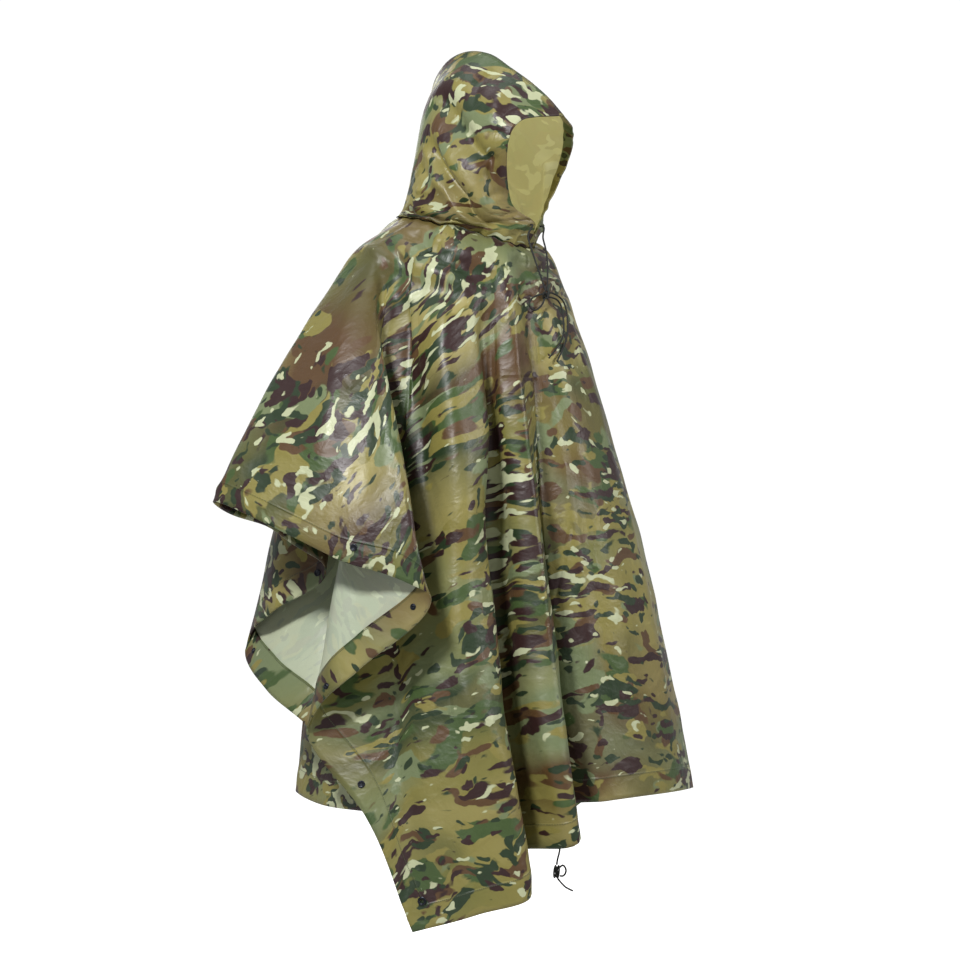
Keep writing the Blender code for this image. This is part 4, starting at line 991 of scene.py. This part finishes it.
CUT_FROM = (3, 5)           # where in the print each half is cut
CASING_PRINT = (.1, 0)      # and how far off its casing's print lies

# One row for each section of a panel, from the front edge to the back seam.  y_c, z_c: the
# crown seam.  Then points on the way down, x outward.  az_n: where it meets the neck seam.
HOOD = [
    # name  y_c  z_c  |  upper side  |  widest side  |  cheek  |  throat  | az_n
    ("rim", -.196, .214, .09, -.164, .197, .107, -.144, .145, .062, -.126, .056, .008, -.141, .022, 1.5),
    ("brim", -.163, .249, .1, -.121, .222, .118, -.101, .14, .092, -.096, .052, .055, -.119, .018, 28),
    ("fore", -.126, .279, .094, -.08, .245, .117, -.058, .138, .106, -.067, .049, .098, -.085, .011, 52),
    ("top", -.086, .307, .082, -.043, .262, .112, -.02, .14, .108, -.038, .048, .12, -.04, .01, 75),
    ("crown", -.044, .334, .078, -.012, .27, .105, .005, .14, .111, 0, .048, .126, 0, .012, 93),
    ("nape 1", .004, .343, .073, .022, .264, .098, .032, .14, .107, .042, .048, .12, .045, .018, 112),
    ("nape 2", .047, .33, .06, .052, .25, .083, .06, .137, .09, .078, .05, .1, .088, .024, 132),
    ("nape 3", .077, .296, .036, .078, .226, .055, .084, .137, .058, .106, .054, .064, .118, .028, 154),
    ("back", .09, .25, 0, .092, .196, 0, .096, .137, 0, .116, .06, 0, .134, .034, 180),
]
# Creases of each half as paths of shares: s from front edge to back seam, t from crown to neck.
HOOD_CREASES = [
    # width  height  shares
    # the long fold, the cheek fold and the nape fold, each with its ridge, and a low fold
    (.013, -.017, [(.66, .22), (.45, .27), (.26, .33), (.09, .436), (.06, .58)]),
    (.02, .011, [(.62, .3), (.34, .42), (.18, .53), (.12, .68)]),
    (.012, -.017, [(.6, .34), (.4, .44), (.295, .544), (.24, .7), (.17, .88)]),
    (.016, .01, [(.58, .42), (.42, .53), (.36, .66), (.27, .9)]),
    (.012, -.015, [(.78, .62), (.6, .69), (.459, .749), (.248, .93)]),
    (.014, .0085, [(.76, .7), (.55, .78), (.38, .93)]),
    (.009, -.008, [(.8, .8), (.62, .86), (.5, .97)]),
    # puckers behind the cheek
    (.006, .0045, [(.68, .36), (.58, .41)]),
    (.006, -.0045, [(.7, .42), (.56, .47)]),
    (.006, .0045, [(.68, .51), (.54, .53)]),
    # crown and brow
    (.012, -.0065, [(.4, .05), (.34, .16), (.24, .26)]),
    (.01, .006, [(.24, .04), (.17, .16), (.1, .25)]),
    # gathers of the casing
    (.006, -.0035, [(.03, .2), (.15, .22)]),
    (.006, -.0035, [(.03, .31), (.14, .32)]),
    (.006, -.0045, [(.03, .44), (.16, .43)]),
    (.006, -.0035, [(.03, .55), (.13, .58)]),
    (.006, -.004, [(.03, .67), (.14, .72)]),
    (.006, .0035, [(.03, .8), (.14, .88)]),
]
SEWN_FLAT = .018            # creases die out this close to the neck seam
# The hood's inner face gets a painted glow for the daylight inside the hood.
PAINTED_DAYLIGHT = .38         # daylight that comes through the thin cloth into the hood
FAR_SIDE_SHIFT = .035       # the creases of the left half lie a little differently


def hood_panel():
    """Outer surface of the left panel: columns from front edge to back seam, rows down."""
    sections = []
    for _, y_c, z_c, *rest, az_n in HOOD:
        seam = neck_point(np.array([-az_n]))[0]
        seam = seam * (1 + HOOD_LIP / NECK_RADIUS) * (1, 1, 0) + (0, 0, seam[2] - GAP)
        sections.append([(0, y_c, z_c)] + [tuple(rest[i:i + 3]) for i in (0, 3, 6, 9)] + [seam])
    sections = np.array(sections, float)
    down = curve_through(np.moveaxis(sections, 1, 0), np.linspace(0, 5, HOOD_ROWS))
    rim = RIM_FOLD / HOOD_STEP
    marks = np.concatenate([np.linspace(0, rim, RIM_COLUMNS)[:-1],
                            np.linspace(rim, len(HOOD) - 1, HOOD_COLUMNS + 1 - RIM_COLUMNS)])
    return curve_through(np.moveaxis(down, 1, 0), marks), marks / (len(HOOD) - 1)


def sheet_neck(points):
    """The sheet's neck edge at the same bearings as these points, and just outside it."""
    edge = SHEET_OUTER[:, 0]
    places = np.arctan2(edge[:, 0], edge[:, 1])
    bearing = np.arctan2(points[:, 0], points[:, 1])
    met = np.stack([np.interp(bearing, places, values, period=2 * np.pi) for values in edge.T], -1)
    return met + unit(met * (1, 1, 0)) * HOOD_LIP - (0, 0, GAP)


inside_face, tree, shader = new_finish("hood inner face")
surface, design = cloth_inputs(tree)
through = tinted(tree, .20, (.600, .560, .270), design)
# The inner face glows in its own colour: painted light for daylight through the thin cloth.
put(tree, shader, {
    "Base Color": through, "Emission Color": through, "Emission Strength": PAINTED_DAYLIGHT,
    "Normal": cloth_relief(tree, surface, weave=.00005, crinkle=.0016, seam=.0007),
    "Roughness": .48, "Specular IOR Level": .5})

panel, shares = hood_panel()
S, T = np.meshgrid(shares, np.linspace(0, 1, HOOD_ROWS), indexing="ij")
flat_share = np.stack([S, T], -1) * HOOD_FLAT
panel_facing = grid_normals(panel, False)
if (panel_facing * panel)[HOOD_COLUMNS // 2, HOOD_ROWS // 2].sum() < 0:
    panel_facing = -panel_facing
steps = np.linalg.norm(np.diff(panel, axis=1), axis=-1)
above_seam = np.pad(np.cumsum(steps[:, ::-1], axis=1)[:, ::-1], ((0, 0), (0, 1)))
across, down = flat_share[..., 0], flat_share[..., 1]
from_seam = np.minimum(np.minimum(down, HOOD_FLAT[0] - across) - HOOD_STITCH,
                       np.abs(across - CASING_STITCH))
stitch = np.stack([from_seam, across + down], -1)
loose = np.clip(S / HELD_AT_SIDES, 0, 1) * np.clip((1 - S) / HELD_AT_SIDES, 0, 1)
loose *= np.clip(T / HELD_AT_CROWN, 0, 1)
loose *= np.clip((1 - T) / HELD_AT_NECK, 0, 1)
at_rim = np.exp(-(S / RIM_GATHER_REACH) ** 2) * np.clip(T * 3, 0, 1)
at_neck = np.exp(-((1 - T) / NECK_GATHER_REACH) ** 2) * np.clip((1 - T) / .03, 0, 1)
for side, sign in (("left", 1), ("right", -1)):
    seed = 20 + sign
    lift = HOOD_RIPPLE * loose * (
        uneven(across + 2, down + 2, HOOD_RIPPLE_SIZE, seed)
        + HOOD_RIPPLE_DETAIL * uneven(across + 2, down + 2, HOOD_RIPPLE_SIZE / 2, seed + 2))
    lift += RIM_GATHER * at_rim * uneven(
        S * RIM_GATHERS[0] + 4, T * RIM_GATHERS[1] + 3, 1, seed + 4)
    lift += NECK_GATHER * at_neck * uneven(
        S * NECK_GATHERS[0] + 4, T * NECK_GATHERS[1] + 3, 1, seed + 6)
    moved = FAR_SIDE_SHIFT * (sign > 0)
    creases = [(width, height, (np.array(path) + (moved, -moved)) * HOOD_FLAT)
               for width, height, path in HOOD_CREASES]
    lift += pressed(flat_share, creases)
    lift *= 1 - np.exp(-(above_seam / SEWN_FLAT) ** 2)
    mirror = np.array((sign, 1, 1))
    shift = np.array((sign * GAP / 2, 0, 0))
    # sew its lower edge onto the sheet's neck edge, on the side where it is worn
    skin = (panel + panel_facing * lift[..., None]) * mirror
    sewn = sheet_neck(skin[:, -1]) - skin[:, -1]
    close = np.exp(-(above_seam / NECK_RISE_REACH) ** NECK_RISE_EDGE)
    skin = (skin + sewn[:, None] * close[..., None]) * mirror
    inward = grid_normals(skin, False)
    inward *= np.sign((inward * panel_facing).sum(-1))[..., None]
    for values in (inward, skin):
        values[:, 0, 0] = 0
        values[-1, :, 0] = 0
    inward = unit(inward)
    printed = flat_share * (1, -1) + (CUT_FROM[0] * sign, CUT_FROM[1])
    layers = [(skin - inward * depth) * mirror + shift
              for depth in (0, CLOTH, CLOTH + GAP, 2 * CLOTH + GAP)]
    half_hood = two_layers("hood_cloth_" + side, *layers[:2], False, printed, stitch,
                           [printed_face, inside_face])
    hand_over(half_hood, "hood_" + side)
    fold, deep = (layer[:RIM_COLUMNS] for layer in layers[2:])
    casing = two_layers("hood_casing_" + side, fold, deep, False, printed[:RIM_COLUMNS] - CASING_PRINT,
                        stitch[:RIM_COLUMNS], [printed_face])
    hand_over(casing, "hood_rim_fold_" + side)


# ---------------- ring snaps
# Dark enamelled press snaps along both side hems.  A cap with a rolled rim and a sunk middle
# shows outside, and a socket with a ring round its hole shows inside.
CAP = [
    # radius  height
    (0, .0011), (.002, .001), (.0028, .0011), (.0034, .0016), (.0043, .0021), (.0053, .0022),
    (.0061, .0018), (.0065, .001), (.0064, .0002), (.006, 0),
]
SOCKET = [
    (0, .0003), (.0014, .0003), (.0016, .0012), (.0021, .002), (.0028, .0021), (.0032, .0014),
    (.004, .001), (.0048, .0012), (.0054, .0008), (.0055, .0002), (.0052, 0),
]
TURNED_SIDES = 36
SNAP_REACH = .008           # as far off the cloth as its face is looked for


def turned_piece(name, centre, axis, profile, finish, is_ring=False):
    """A turned solid: radii and heights about an axis.  A ring's profile closes on itself, and
    another starts at its middle and is closed at its base."""
    side = unit(np.cross((0, 0, 1.0) if abs(axis[2]) < .9 else (1.0, 0, 0), axis))
    angle = np.linspace(0, 2 * np.pi, TURNED_SIDES, endpoint=False)
    spokes = np.outer(np.cos(angle), side) + np.outer(np.sin(angle), np.cross(axis, side))
    rows = profile if is_ring else profile[1:]
    points = [centre + spokes * radius + axis * height for radius, height in rows]
    faces = grid_faces(len(rows), TURNED_SIDES, wrap_n=is_ring)[:, ::-1].tolist()
    if not is_ring:
        middle = len(rows) * TURNED_SIDES
        points = np.concatenate([*points, [centre + axis * profile[0][1]]])
        faces += [(middle, k, (k + 1) % TURNED_SIDES) for k in range(TURNED_SIDES)]
        faces.append(range(middle - 1, middle - 1 - TURNED_SIDES, -1))
    return place_piece(name, smooth_mesh(name, points, faces, [finish]))


enamel, tree, shader = new_finish("dark enamelled metal")
rubbed = noise(tree, wire(tree, "TexCoord").outputs["Object"], 420.0, 3.0)
worn = ranged(tree, rubbed, .52, .72)
put(tree, shader, {
    "Base Color": tinted(tree, worn, (.014, .016, .022), (.055, .058, .066)),
    "Roughness": ranged(tree, rubbed, low=.22, high=.42), "Metallic": .75})


def middle_of(node):
    """The middle of a part's box."""
    low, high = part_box(node)
    return (Vector(low) + Vector(high)) / 2


in_place = bpy.context.evaluated_depsgraph_get()
outer_skin = BVHTree.FromObject(poncho, in_place)
for side in ("right", "left"):
    hem_skin = BVHTree.FromObject(bpy.data.objects["hem_fold_" + side], in_place)
    for half, number in [(half, number) for half in ("front", "back") for number in (1, 2, 3, 4)]:
        place = f"_{side}_{half}_{number}"
        cap, socket = middle_of("snap_cap" + place), middle_of("snap_socket" + place)
        outward = (cap - socket).normalized()
        for kind, middle, profile, skin, facing in (("cap", cap, CAP, outer_skin, outward),
                                                    ("socket", socket, SOCKET, hem_skin, -outward)):
            point, normal, _, _ = skin.find_nearest(middle)
            # the nearest point may lie on the far face of the thin cloth
            face, turned, _, _ = skin.ray_cast(point + facing * SNAP_REACH, -facing, 2 * SNAP_REACH)
            if face is not None:
                point, normal = face, turned
            if normal.dot(facing) < 0:
                normal = -normal
            snap = turned_piece(f"ring_{kind}{place}", np.array(point), np.array(normal), profile,
                                enamel)
            hand_over(snap, f"snap_{kind}{place}")


# ---------------- corner eyelets
# A rolled metal eyelet through the sheet and its hem at each corner, for tying down.
EYELET = [
    # radius  height
    (.0036, -.0028), (.005, -.0037), (.0068, -.0036), (.0075, -.0029), (.0068, -.0027),
    (.0047, -.0027), (.0047, .0002), (.0068, .0002), (.0075, .0005), (.0068, .0011),
    (.005, .0012), (.0036, .0004),
]

for corner in ("left_front", "right_front", "right_back", "left_back"):
    middle = middle_of("eyelet_" + corner)
    point, normal, _, _ = outer_skin.find_nearest(middle)
    if (point - middle).dot(normal) < 0:
        normal = -normal
    ring = turned_piece("rolled_eyelet_" + corner, np.array(point), np.array(normal), EYELET,
                        enamel, is_ring=True)
    hand_over(ring, "eyelet_" + corner)
